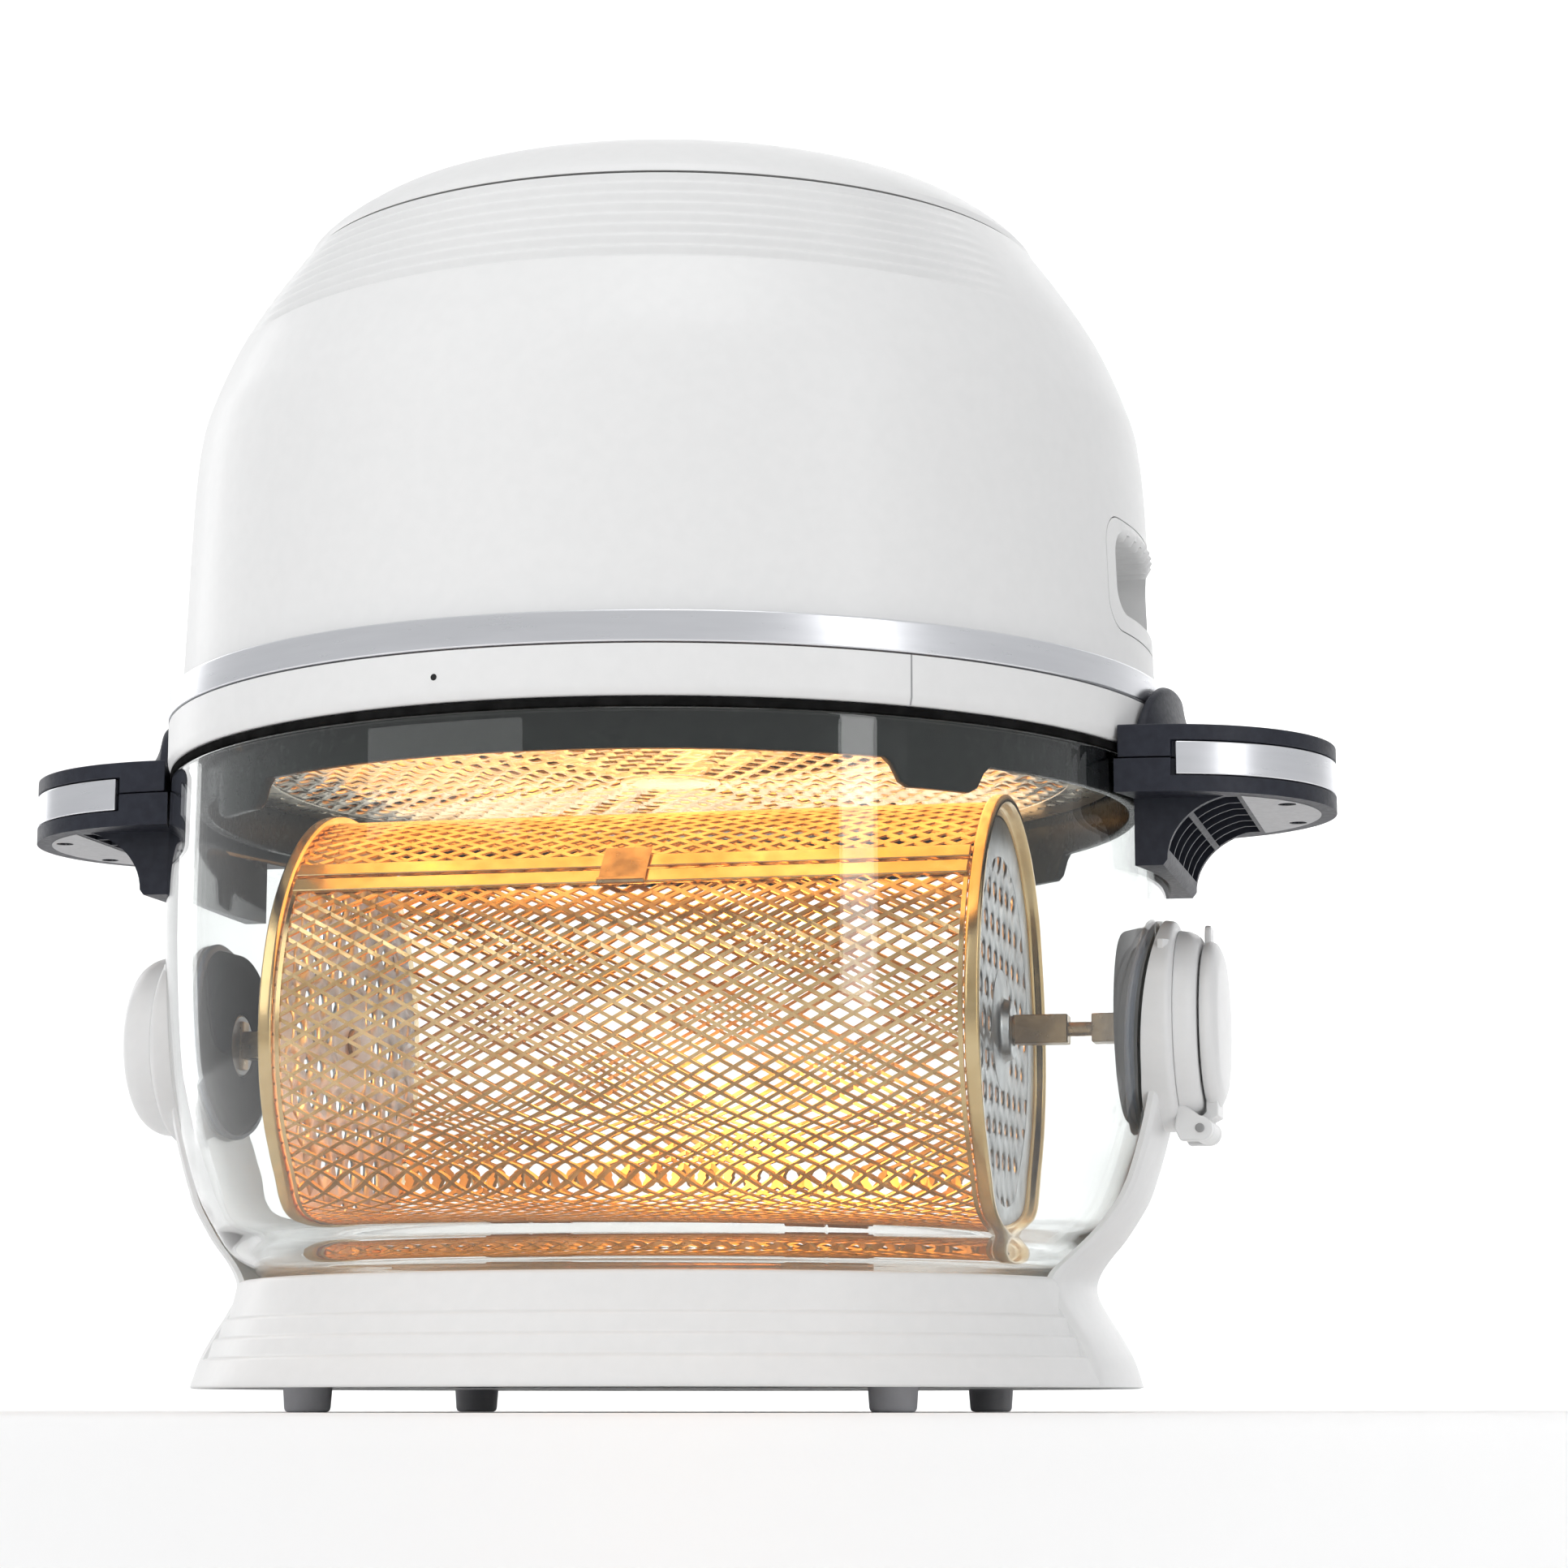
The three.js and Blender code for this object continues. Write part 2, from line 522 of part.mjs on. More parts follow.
const domeShell = cut(
  turned([...DOME_OUT, ...DOME_IN]),
  slab(gripOutline(0.4), "x", 100, 170),
  slab(gripOutline(0.4), "x", -170, -100),
  slab(ventOutline(0.4), "y", 100, 170),
  inletHole,
);
add("dome_shell", domeShell, white, head);
add("top_cap", turned([[0, 370], ...CAP_OUT.slice(0, -1).reverse(), ...CAP_IN]), white, head);
add(
  "control_panel",
  turned([[0, 370.3], [30, 368.6], [45, 366.6], [45.6, 367.6], [30, 369.7], [0, 371.2]], 28),
  panelBlack,
  head,
);
// finger grips in the dome's sides: an open pocket with knurls along its upper lip
const gripSkin = turned([[0, 214], [144.7, 214], [143.3, 235], [142.4, 255], [0, 255]]);
const knurls = [-24, -16, -8, 0, 8, 16, 24].map((y) => rodX(2.7, 126, 150, y, 249, 6));
const grip = both(
  union(cut(slab(gripOutline(0), "x", 118, 150), slab(gripInner, "x", 121, 160)), ...knurls),
  gripSkin,
);
add("grip_insert_right", grip, white, head);
add("grip_insert_left", mirrorX(grip), white, head);
const ventSlots = [];
for (let i = 0; i < 4; i++) ventSlots.push(box(-27, 27, 100, 160, 233 + 5 * i, 235.4 + 5 * i));
add(
  "rear_vent",
  cut(both(slab(ventOutline(0), "y", 137, 150), gripSkin), ...ventSlots),
  white,
  head,
);
add(
  "cord_inlet",
  cut(
    union(rodY(6, 137, 146, 0, INLET_Z, 12), rodY(7.4, 145, 147.6, 0, INLET_Z, 16)),
    rodY(3.6, 130, 150, 0, INLET_Z, 10),
  ),
  black,
  head,
);
// skirt inside the bowl's rim, with a tab at each diagonal
const skirtTab = both(
  turned([[136, 164.4], [139.2, 164.4], [139.2, 172.4], [136, 172.4]]),
  slab([[-17, 173], [-11, 164.4], [11, 164.4], [17, 173]], "y", -150, -100),
);
const skirt = union(
  turned([[136, 171.8], [139.2, 171.8], [139.2, 198], [136, 198]], 32),
  ...[45, 135, 225, 315].map((a) => turnZ(skirtTab, a)),
);
add("inner_skirt", skirt, black, head);
const guardHoles = [];
for (const [n, r, phase] of [[8, 84, 9]])
  for (let i = 0; i < n; i++) {
    const t = ((phase + (360 * i) / n) * Math.PI) / 180;
    guardHoles.push(rodZ(10, 180, 190, r * Math.cos(t), r * Math.sin(t), 6));
  }
add(
  "heater_guard",
  cut(turned([[0, 184.4], [135.1, 184.4], [135.1, 186], [0, 186]], 28), ...guardHoles),
  steel,
  head,
);
const coilRing = new THREE.TorusGeometry(84, 4.4, 6, 28).translate(0, 0, 194);
add(
  "heater_coil",
  union(solid(coilRing), rodZ(3, 194, 222, 83, 0, 8), rodZ(3, 194, 222, -83, 0, 8)),
  heater,
  head,
);
add(
  "heat_reflector",
  cut(
    turned([
      [8, 229.6], [8, 228.2], [61.6, 228.2], [124.6, 208], [129.6, 199.3], [134.4, 199.3], [134.4, 200.8], [130.6, 201],
      [125.8, 209.4], [62, 229.6],
    ], 28),
    rodZ(4, 180, 240, 83, 0, 8),
    rodZ(4, 180, 240, -83, 0, 8),
  ),
  steel,
  head,
);
add("motor_bracket", turned([[12, 230], [54, 230], [54, 231.6], [12, 231.6]], 20), darkSteel, head);
add("fan_motor", turned([[3.7, 232], [31, 232], [31, 260], [29, 262], [3.7, 262]], 20), darkSteel, head);
add("control_board", box(-36, 36, -24, 24, 350, 351.6), board, head);
const blades = [];
for (let i = 0; i < 6; i++) {
  const b = solid(
    new THREE.BoxGeometry(46, 1.6, 14).rotateX(0.55).translate(33, 0, 214).rotateZ((Math.PI * i) / 3),
  );
  blades.push(b);
}
add(
  "fan_blade",
  union(rodZ(11, 208, 221, 0, 0, 16), rodZ(3, 206, 278, 0, 0, 12), ...blades),
  darkSteel,
  fan,
);
const coolers = [];
for (let i = 0; i < 6; i++)
  coolers.push(
    solid(new THREE.BoxGeometry(34, 1.6, 9).rotateX(0.6).translate(27, 0, 271).rotateZ((Math.PI * i) / 3 + 0.3)),
  );
add(
  "cooling_fan",
  cut(union(turned([[0, 265.4], [12, 265.4], [12, 276.6], [0, 276.6]], 16), ...coolers), rodZ(3.4, 200, 300, 0, 0, 12)),
  darkSteel,
  fan,
);

export default oven;
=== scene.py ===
import bpy
import bmesh
import math
import random

from mathutils import Matrix, Vector


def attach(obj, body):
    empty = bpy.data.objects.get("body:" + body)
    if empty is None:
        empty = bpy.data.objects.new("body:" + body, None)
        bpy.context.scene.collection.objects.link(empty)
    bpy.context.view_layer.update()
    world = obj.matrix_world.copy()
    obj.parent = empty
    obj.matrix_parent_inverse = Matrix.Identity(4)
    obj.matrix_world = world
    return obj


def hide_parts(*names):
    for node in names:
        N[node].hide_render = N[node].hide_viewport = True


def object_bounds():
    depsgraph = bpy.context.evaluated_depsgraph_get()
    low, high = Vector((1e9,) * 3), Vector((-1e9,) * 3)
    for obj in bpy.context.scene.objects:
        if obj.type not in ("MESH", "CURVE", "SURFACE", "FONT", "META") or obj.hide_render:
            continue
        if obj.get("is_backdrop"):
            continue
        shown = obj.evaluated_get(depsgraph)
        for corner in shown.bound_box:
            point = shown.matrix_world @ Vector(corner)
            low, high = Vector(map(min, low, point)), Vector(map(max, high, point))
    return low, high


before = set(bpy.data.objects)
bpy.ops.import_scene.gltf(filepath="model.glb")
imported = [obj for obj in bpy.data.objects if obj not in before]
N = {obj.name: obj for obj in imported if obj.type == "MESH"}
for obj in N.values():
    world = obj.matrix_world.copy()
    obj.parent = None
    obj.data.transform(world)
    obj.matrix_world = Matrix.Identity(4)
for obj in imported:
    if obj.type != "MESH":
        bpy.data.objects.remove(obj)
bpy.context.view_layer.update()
random.seed(7)
MM = 0.001
AXLE_Z = 109.3
PI = math.pi
scene = bpy.context.scene


# ------------------------------------------------------------------ materials
def new_mat(name):
    m = bpy.data.materials.new(name)
    m.use_nodes = True
    nt = m.node_tree
    p = nt.nodes["Principled BSDF"]
    return m, nt, p


def tex_coord(nt, scale=(1, 1, 1)):
    tc = nt.nodes.new("ShaderNodeTexCoord")
    mp = nt.nodes.new("ShaderNodeMapping")
    mp.inputs["Scale"].default_value = scale
    nt.links.new(tc.outputs["Object"], mp.inputs["Vector"])
    return mp.outputs["Vector"]


def noise(nt, vec, scale, detail=3.0, rough=0.5):
    n = nt.nodes.new("ShaderNodeTexNoise")
    n.inputs["Scale"].default_value = scale
    n.inputs["Detail"].default_value = detail
    n.inputs["Roughness"].default_value = rough
    nt.links.new(vec, n.inputs["Vector"])
    return n.outputs["Fac"]


def ramp(nt, fac, a, b, lo=0.35, hi=0.65):
    r = nt.nodes.new("ShaderNodeValToRGB")
    r.color_ramp.elements[0].position = lo
    r.color_ramp.elements[1].position = hi
    r.color_ramp.elements[0].color = (*a, 1)
    r.color_ramp.elements[1].color = (*b, 1)
    nt.links.new(fac, r.inputs["Fac"])
    return r.outputs["Color"]


def maprange(nt, fac, a, b, lo=0.3, hi=0.7):
    r = nt.nodes.new("ShaderNodeMapRange")
    r.inputs["From Min"].default_value = lo
    r.inputs["From Max"].default_value = hi
    r.inputs["To Min"].default_value = a
    r.inputs["To Max"].default_value = b
    nt.links.new(fac, r.inputs["Value"])
    return r.outputs["Result"]


def bump(nt, fac, strength, dist, p):
    b = nt.nodes.new("ShaderNodeBump")
    b.inputs["Strength"].default_value = strength
    b.inputs["Distance"].default_value = dist
    nt.links.new(fac, b.inputs["Height"])
    nt.links.new(b.outputs["Normal"], p.inputs["Normal"])


def surface(name, dark, light, rough, metal=0.0, cscale=60, bscale=900, bstr=0.05, bdist=0.0002,
            stretch=(1, 1, 1), coat=0.0, spec=0.5, detail=3.0, ior=1.5):
    m, nt, p = new_mat(name)
    v = tex_coord(nt, stretch)
    nt.links.new(ramp(nt, noise(nt, v, cscale, detail), dark, light), p.inputs["Base Color"])
    nt.links.new(maprange(nt, noise(nt, v, cscale * 2.3, 4.0), rough[0], rough[1]), p.inputs["Roughness"])
    bump(nt, noise(nt, v, bscale, 2.0), bstr, bdist, p)
    p.inputs["Metallic"].default_value = metal
    p.inputs["Coat Weight"].default_value = coat
    p.inputs["Coat Roughness"].default_value = 0.12
    p.inputs["Specular IOR Level"].default_value = spec
    p.inputs["IOR"].default_value = ior
    return m


M = {}
M["white"] = surface("white_abs", (0.800, 0.802, 0.800), (0.815, 0.816, 0.814), (0.38, 0.44), coat=0.06, cscale=240, bscale=2600, bstr=0.025)
M["white_hub"] = surface("white_abs_hub", (0.780, 0.782, 0.782), (0.796, 0.797, 0.797), (0.28, 0.35), cscale=240, bscale=2600, bstr=0.025)
M["black"] = surface("charcoal_plastic", (0.013, 0.015, 0.025), (0.019, 0.022, 0.034), (0.40, 0.52), cscale=300, bscale=1900, bstr=0.10, bdist=0.0003, spec=0.36)
M["skirt"] = surface("black_enamel", (0.004, 0.007, 0.006), (0.009, 0.013, 0.011), (0.20, 0.30), cscale=200, bscale=900, bstr=0.06, spec=0.08)
M["silver"] = surface("silver_trim", (0.815, 0.825, 0.855), (0.845, 0.855, 0.885), (0.27, 0.32), metal=1.0, cscale=30, bscale=260, bstr=0.012, stretch=(1, 1, 14))
M["rubber"] = surface("black_silicone", (0.008, 0.008, 0.008), (0.014, 0.014, 0.014), (0.5, 0.62), cscale=200, bscale=1800, bstr=0.08, spec=0.0)
M["pad"] = surface("pale_silicone_pad", (0.60, 0.60, 0.60), (0.66, 0.66, 0.655), (0.45, 0.55), cscale=200, bscale=1500, bstr=0.05)
M["gasket"] = surface("slate_gasket", (0.07, 0.095, 0.15), (0.09, 0.12, 0.18), (0.4, 0.5), cscale=60, bscale=900, bstr=0.08)
M["foot"] = surface("grey_foot_rubber", (0.52, 0.52, 0.55), (0.60, 0.60, 0.63), (0.55, 0.7), cscale=80, bscale=1200, bstr=0.15)
# base colour tinted gold: painted warm light on the silver steel mesh
M["mesh"] = surface("steel_mesh_painted_warm_light", (0.62, 0.40, 0.17), (0.86, 0.62, 0.32), (0.24, 0.38), metal=1.0, cscale=120, bscale=600, bstr=0.15)
# base colour tinted gold: painted warm light on the silver rolled steel
M["rim"] = surface("rolled_steel_painted_warm_light", (0.62, 0.42, 0.18), (0.80, 0.60, 0.32), (0.16, 0.26), metal=1.0, cscale=50, bscale=400, bstr=0.08)
M["zinc"] = surface("spangled_steel", (0.40, 0.405, 0.41), (0.56, 0.57, 0.58), (0.30, 0.44), metal=1.0, cscale=95, bscale=420, bstr=0.12, detail=5.0)
M["axle"] = surface("axle_steel", (0.26, 0.19, 0.12), (0.50, 0.36, 0.21), (0.24, 0.38), metal=1.0, cscale=120, bscale=700, bstr=0.1)
M["copper"] = surface("copper_hinge", (0.62, 0.30, 0.14), (0.80, 0.44, 0.22), (0.25, 0.4), metal=1.0, cscale=150, bscale=700, bstr=0.1)
M["guard"] = surface("guard_steel", (0.62, 0.56, 0.45), (0.82, 0.76, 0.64), (0.22, 0.35), metal=1.0, cscale=60, bscale=400, bstr=0.1)
M["dark_steel"] = surface("works_steel", (0.30, 0.30, 0.30), (0.42, 0.42, 0.42), (0.30, 0.45), metal=1.0, cscale=70, bscale=600, bstr=0.1)
M["board"] = surface("circuit_board", (0.01, 0.08, 0.03), (0.02, 0.13, 0.05), (0.4, 0.5), cscale=200, bscale=500, bstr=0.2)
# light grey standing in for the floor light the black grip's underside catches: painted light
M["underplate"] = surface("grip_underside_painted_floor_light", (0.30, 0.30, 0.315), (0.34, 0.34, 0.355), (0.30, 0.38), cscale=300, bscale=1800, bstr=0.06)
M["lipgrey"] = surface("grip_lip_grey", (0.42, 0.43, 0.45), (0.48, 0.49, 0.51), (0.34, 0.42), cscale=300, bscale=1800, bstr=0.06)
M["panel"] = surface("panel_gloss_black", (0.006, 0.006, 0.008), (0.010, 0.010, 0.012), (0.05, 0.09), cscale=10, bscale=300, bstr=0.01, coat=0.6)
M["ink"] = surface("panel_print", (0.45, 0.46, 0.48), (0.55, 0.56, 0.58), (0.4, 0.5), cscale=80)
# near-black painted shade for holes and recesses
M["hole"] = surface("recess_painted_shade", (0.006, 0.006, 0.007), (0.010, 0.010, 0.011), (0.6, 0.8), cscale=80)
M["seam"] = surface("seam_shadow", (0.30, 0.30, 0.31), (0.36, 0.36, 0.37), (0.5, 0.6), cscale=80)


def glow_material():
    m, nt, p = new_mat("heater_glow")
    v = tex_coord(nt)
    nt.links.new(ramp(nt, noise(nt, v, 70, 4.0), (0.85, 0.22, 0.03), (1.0, 0.46, 0.10)), p.inputs["Base Color"])
    nt.links.new(ramp(nt, noise(nt, v, 70, 4.0), (1.0, 0.26, 0.03), (1.0, 0.50, 0.13)), p.inputs["Emission Color"])
    p.inputs["Emission Strength"].default_value = 2.2
    p.inputs["Roughness"].default_value = 0.5
    return m


M["glow"] = glow_material()


def glass_material():
    m, nt, p = new_mat("clear_glass")
    v = tex_coord(nt)
    p.inputs["Transmission Weight"].default_value = 1.0
    p.inputs["IOR"].default_value = 1.46
    nt.links.new(ramp(nt, noise(nt, v, 8, 2.0), (0.925, 0.944, 0.938), (0.935, 0.953, 0.947)), p.inputs["Base Color"])
    nt.links.new(maprange(nt, noise(nt, v, 12, 2.0), 0.0, 0.012), p.inputs["Roughness"])
    p.inputs["Specular IOR Level"].default_value = 0.22
    out = nt.nodes["Material Output"]
    lp = nt.nodes.new("ShaderNodeLightPath")
    tr = nt.nodes.new("ShaderNodeBsdfTransparent")
    tr.inputs["Color"].default_value = (0.95, 0.97, 0.96, 1)
    mx = nt.nodes.new("ShaderNodeMixShader")
    nt.links.new(lp.outputs["Is Shadow Ray"], mx.inputs["Fac"])
    nt.links.new(p.outputs["BSDF"], mx.inputs[1])
    nt.links.new(tr.outputs["BSDF"], mx.inputs[2])
    nt.links.new(mx.outputs["Shader"], out.inputs["Surface"])
    return m


M["glass"] = glass_material()


# ------------------------------------------------------------------ mesh helpers (all in millimetres)
def build(name, verts, faces, mat, body=None, sharp=35.0, smooth=True):
    me = bpy.data.meshes.new(name)
    me.from_pydata([(x * MM, y * MM, z * MM) for x, y, z in verts], [], faces)
    me.validate()
    bm = bmesh.new()
    bm.from_mesh(me)
    bmesh.ops.remove_doubles(bm, verts=bm.verts, dist=1e-7)
    bmesh.ops.recalc_face_normals(bm, faces=bm.faces)
    bm.to_mesh(me)
    bm.free()
    finish_shading(me, sharp, smooth)
    me.materials.append(mat)
    ob = bpy.data.objects.new(name, me)
    scene.collection.objects.link(ob)
    if body:
        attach(ob, body)
    return ob


def finish_shading(me, sharp=35.0, smooth=True):
    if smooth:
        me.shade_smooth()
        me.set_sharp_from_angle(angle=math.radians(sharp))
    else:
        me.shade_flat()


def rounded(points, radii, n=5):
    """A closed outline with its corners rounded. radii is one number or one per corner."""
    out = []
    k = len(points)
    for i, p in enumerate(points):
        r = radii if isinstance(radii, (int, float)) else radii[i]
        a, b = Vector(points[i - 1]), Vector(points[(i + 1) % k])
        p = Vector(p)
        da, db = (a - p), (b - p)
        la, lb = da.length, db.length
        if r <= 0 or la < 1e-9 or lb < 1e-9:
            out.append(tuple(p))
            continue
        da.normalize()
        db.normalize()
        r = min(r, 0.48 * la, 0.48 * lb)
        s, e = p + da * r, p + db * r
        for j in range(n + 1):
            t = j / n
            q = s * (1 - t) ** 2 + p * 2 * t * (1 - t) + e * t * t
            out.append(tuple(q))
    return out


def curve_through(points, per=8):
    """Smooth line through the points."""
    out = []
    k = len(points)
    P = [Vector(p) for p in points]
    for i in range(k - 1):
        p0 = P[i - 1] if i > 0 else P[i] * 2 - P[i + 1]
        p1, p2 = P[i], P[i + 1]
        p3 = P[i + 2] if i + 2 < k else P[i + 1] * 2 - P[i]
        for j in range(per):
            t = j / per
            q = 0.5 * ((2 * p1) + (p2 - p0) * t + (2 * p0 - 5 * p1 + 4 * p2 - p3) * t * t + (3 * p1 - p0 - 3 * p2 + p3) * t ** 3)
            out.append(tuple(q))
    out.append(tuple(P[-1]))
    return out


def lathe(name, prof, mat, body=None, seg=192, closed=True, sharp=35.0, warp=None):
    """prof is (radius, z); warp(r, z, angle) may move a point."""
    verts, faces = [], []
    n = len(prof)
    for i in range(seg):
        a = 2 * PI * i / seg
        for r, z in prof:
            if warp:
                r, z = warp(r, z, a)
            verts.append((r * math.cos(a), r * math.sin(a), z))
    m = n if closed else n - 1
    for i in range(seg):
        for j in range(m):
            a, b = i * n + j, i * n + (j + 1) % n
            c, d = ((i + 1) % seg) * n + (j + 1) % n, ((i + 1) % seg) * n + j
            faces.append((a, b, c, d))
    return build(name, verts, faces, mat, body, sharp)


def lathe_x(name, prof, mat, body=None, seg=128, closed=True, sharp=35.0, cy=0.0, cz=AXLE_Z, warp=None, flip=1):
    """prof is (x, radius) about the line along X."""
    verts, faces = [], []
    n = len(prof)
    for i in range(seg):
        a = 2 * PI * i / seg
        for x, r in prof:
            y, z = cy + r * math.cos(a), cz + r * math.sin(a)
            if warp:
                x = warp(x, y, z, r)
            verts.append((flip * x, y, z))
    m = n if closed else n - 1
    for i in range(seg):
        for j in range(m):
            a, b = i * n + j, i * n + (j + 1) % n
            c, d = ((i + 1) % seg) * n + (j + 1) % n, ((i + 1) % seg) * n + j
            faces.append((a, b, c, d))
    return build(name, verts, faces, mat, body, sharp)


def prism(name, outline, axis, lo, hi, mat, body=None, sharp=35.0, flip=1):
    """A closed outline pushed along an axis: "z" takes x,y; "x" takes y,z; "y" takes x,z."""
    def put(u, v, w):
        if axis == "z":
            return (flip * u, v, w)
        if axis == "x":
            return (flip * w, u, v)
        return (flip * u, w, v)
    n = len(outline)
    verts = [put(u, v, lo) for u, v in outline] + [put(u, v, hi) for u, v in outline]
    faces = [tuple(range(n)), tuple(range(2 * n - 1, n - 1, -1))]
    faces += [(i, (i + 1) % n, n + (i + 1) % n, n + i) for i in range(n)]
    return build(name, verts, faces, mat, body, sharp)


def boxes(name, list_of, mat, body=None, round_r=0.0):
    verts, faces = [], []
    for x0, x1, y0, y1, z0, z1 in list_of:
        k = len(verts)
        verts += [(x, y, z) for x in (x0, x1) for y in (y0, y1) for z in (z0, z1)]
        faces += [tuple(k + i for i in f) for f in ((0, 1, 3, 2), (4, 6, 7, 5), (0, 4, 5, 1), (2, 3, 7, 6), (0, 2, 6, 4), (1, 5, 7, 3))]
    ob = build(name, verts, faces, mat, body, 30)
    if round_r:
        bevel(ob, round_r, 3)
    return ob


def bevel(ob, width, segments=3, angle=30):
    b = ob.modifiers.new("edge", "BEVEL")
    b.width = width * MM
    b.segments = segments
    b.limit_method = "ANGLE"
    b.angle_limit = math.radians(angle)
    b.harden_normals = False
    b.use_clamp_overlap = True
    return b


def apply_all(ob, sharp=35.0):
    dg = bpy.context.evaluated_depsgraph_get()
    me = bpy.data.meshes.new_from_object(ob.evaluated_get(dg))
    ob.modifiers.clear()
    old = ob.data
    ob.data = me
    bpy.data.meshes.remove(old)
    finish_shading(ob.data, sharp)


def boolean(ob, op, *others):
    for c in others:
        b = ob.modifiers.new("cut", "BOOLEAN")
        b.operation = op
        b.solver = "EXACT"
        b.object = c
        bpy.context.view_layer.update()
        apply_all(ob)
        me = c.data
        bpy.data.objects.remove(c)
        if me.users == 0:
            bpy.data.meshes.remove(me)
    return ob


def round_rect(cu, cv, w, h, r, n=8):
    pts = []
    for sx, sy, a0 in ((1, -1, -90), (1, 1, 0), (-1, 1, 90), (-1, -1, 180)):
        for i in range(n + 1):
            a = math.radians(a0 + 90 * i / n)
            pts.append((cu + sx * (w - r) + r * math.cos(a), cv + sy * (h - r) + r * math.sin(a)))
    return pts


def table_at(table, z):
    """(value, z) pairs, read at z."""
    t = sorted(table, key=lambda p: p[1])
    if z <= t[0][1]:
        return t[0][0]
    for (a, za), (b, zb) in zip(t, t[1:]):
        if za <= z <= zb:
            return a + (b - a) * (z - za) / (zb - za) if zb > za else a
    return t[-1][0]


def sm(x, a, b):
    t = min(1.0, max(0.0, (x - a) / (b - a)))
    return t * t * (3 - 2 * t)


# ------------------------------------------------------------------ profiles, in mm
GLASS_OUT = [(104, 33), (110, 34), (116.5, 37.2), (120.5, 40), (127, 45.4), (131.5, 52.2), (135.7, 60), (138.2, 67),
             (140.2, 74), (142, 81.3), (143.6, 88.5), (145, 96), (146.3, 110), (147.1, 125), (147.5, 140), (147.4, 160), (147.2, 178)]
GLASS_IN = [(100, 37), (107, 38), (113.5, 40.6), (118.5, 44), (124, 49), (127.8, 54), (131.6, 61.4), (134.2, 68.2),
            (136.4, 75), (138.2, 82), (139.8, 89), (141.2, 96.4), (142.4, 110), (143.1, 125), (143.5, 140), (143.4, 160), (143.2, 178)]
g_out = curve_through(GLASS_OUT, 4)
g_in = curve_through(GLASS_IN, 4)
ARM_OUT = [(138, 6.9), (136.8, 11), (135.2, 15.4), (131.8, 21.6), (127.8, 28), (125.2, 33.5), (125.6, 38), (128.6, 43), (133.4, 48.8),
           (137.2, 54.4), (140.6, 60.2), (143.1, 67), (145.2, 74), (147, 81), (148.6, 88.5), (149.9, 97), (151, 110), (151.6, 125), (151.9, 141)]


def glass_x(y, z, inner, gap):
    r = table_at(g_in if inner else g_out, z) + (-gap if inner else gap)
    return math.sqrt(max(1.0, r * r - y * y))


# ------------------------------------------------------------------ glass bowl
prof = [(0.01, 33)] + g_out + rounded([(147.2, 180), (147.2, 182), (143.2, 182), (143.2, 180)], [0, 1.6, 1.6, 0], 5) + g_in[::-1] + [(0.01, 37)]
bowl = lathe("bowl_glass", prof, M["glass"], "stand", seg=256, closed=True, sharp=50)
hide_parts("glass_bowl")

# ------------------------------------------------------------------ base
base_prof = rounded(
    [(0.01, 27), (117, 27), (124.6, 17), (131.6, 6.6), (137.4, 6.6), (137.2, 8.2), (134.5, 14.6), (132.6, 15.2), (131.2, 20.2),
     (129.7, 20.8), (128.4, 25.8), (126.8, 26.4), (125.3, 33), (124.4, 37), (118.3, 37), (117.4, 34.2), (106, 30), (0.01, 30)],
    [0, 0, 0, 0.6, 1.0, 1.2, 0.9, 0.5, 0.9, 0.5, 0.9, 0.5, 2, 1.6, 1.2, 1, 0, 0], 5)
base = lathe("base_flare", base_prof, M["white"], "stand", seg=256, sharp=50)
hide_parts("base_ring")
plate = lathe("base_underplate", rounded([(0.01, 7.3), (127, 7.3), (127, 9.6), (0.01, 9.6)], [0, 0.8, 0.8, 0], 3), M["white"], "stand", seg=128)
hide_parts("base_plate")
for name, sx, sy in (("foot_front_left", -1, -1), ("foot_front_right", 1, -1), ("foot_rear_left", -1, 1), ("foot_rear_right", 1, 1)):
    foot = lathe(name + "_pad", rounded([(0.01, 0), (6.3, 0), (6.8, 6.9), (0.01, 6.9)], [0, 1.4, 0.3, 0], 5), M["foot"], None, seg=48)
    foot.data.transform(Matrix.Translation((sx * 0.082, sy * 0.0805, 0)))
    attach(foot, "stand")
    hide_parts(name)


# ------------------------------------------------------------------ arms
def arm_half(z):
    pts = [(40, 6.9), (38.6, 20), (37.6, 32), (36, 38), (31.5, 43), (28, 49), (25, 56), (23.4, 63), (22.6, 72), (22.6, 141)]
    return table_at(curve_through(pts, 6), z)


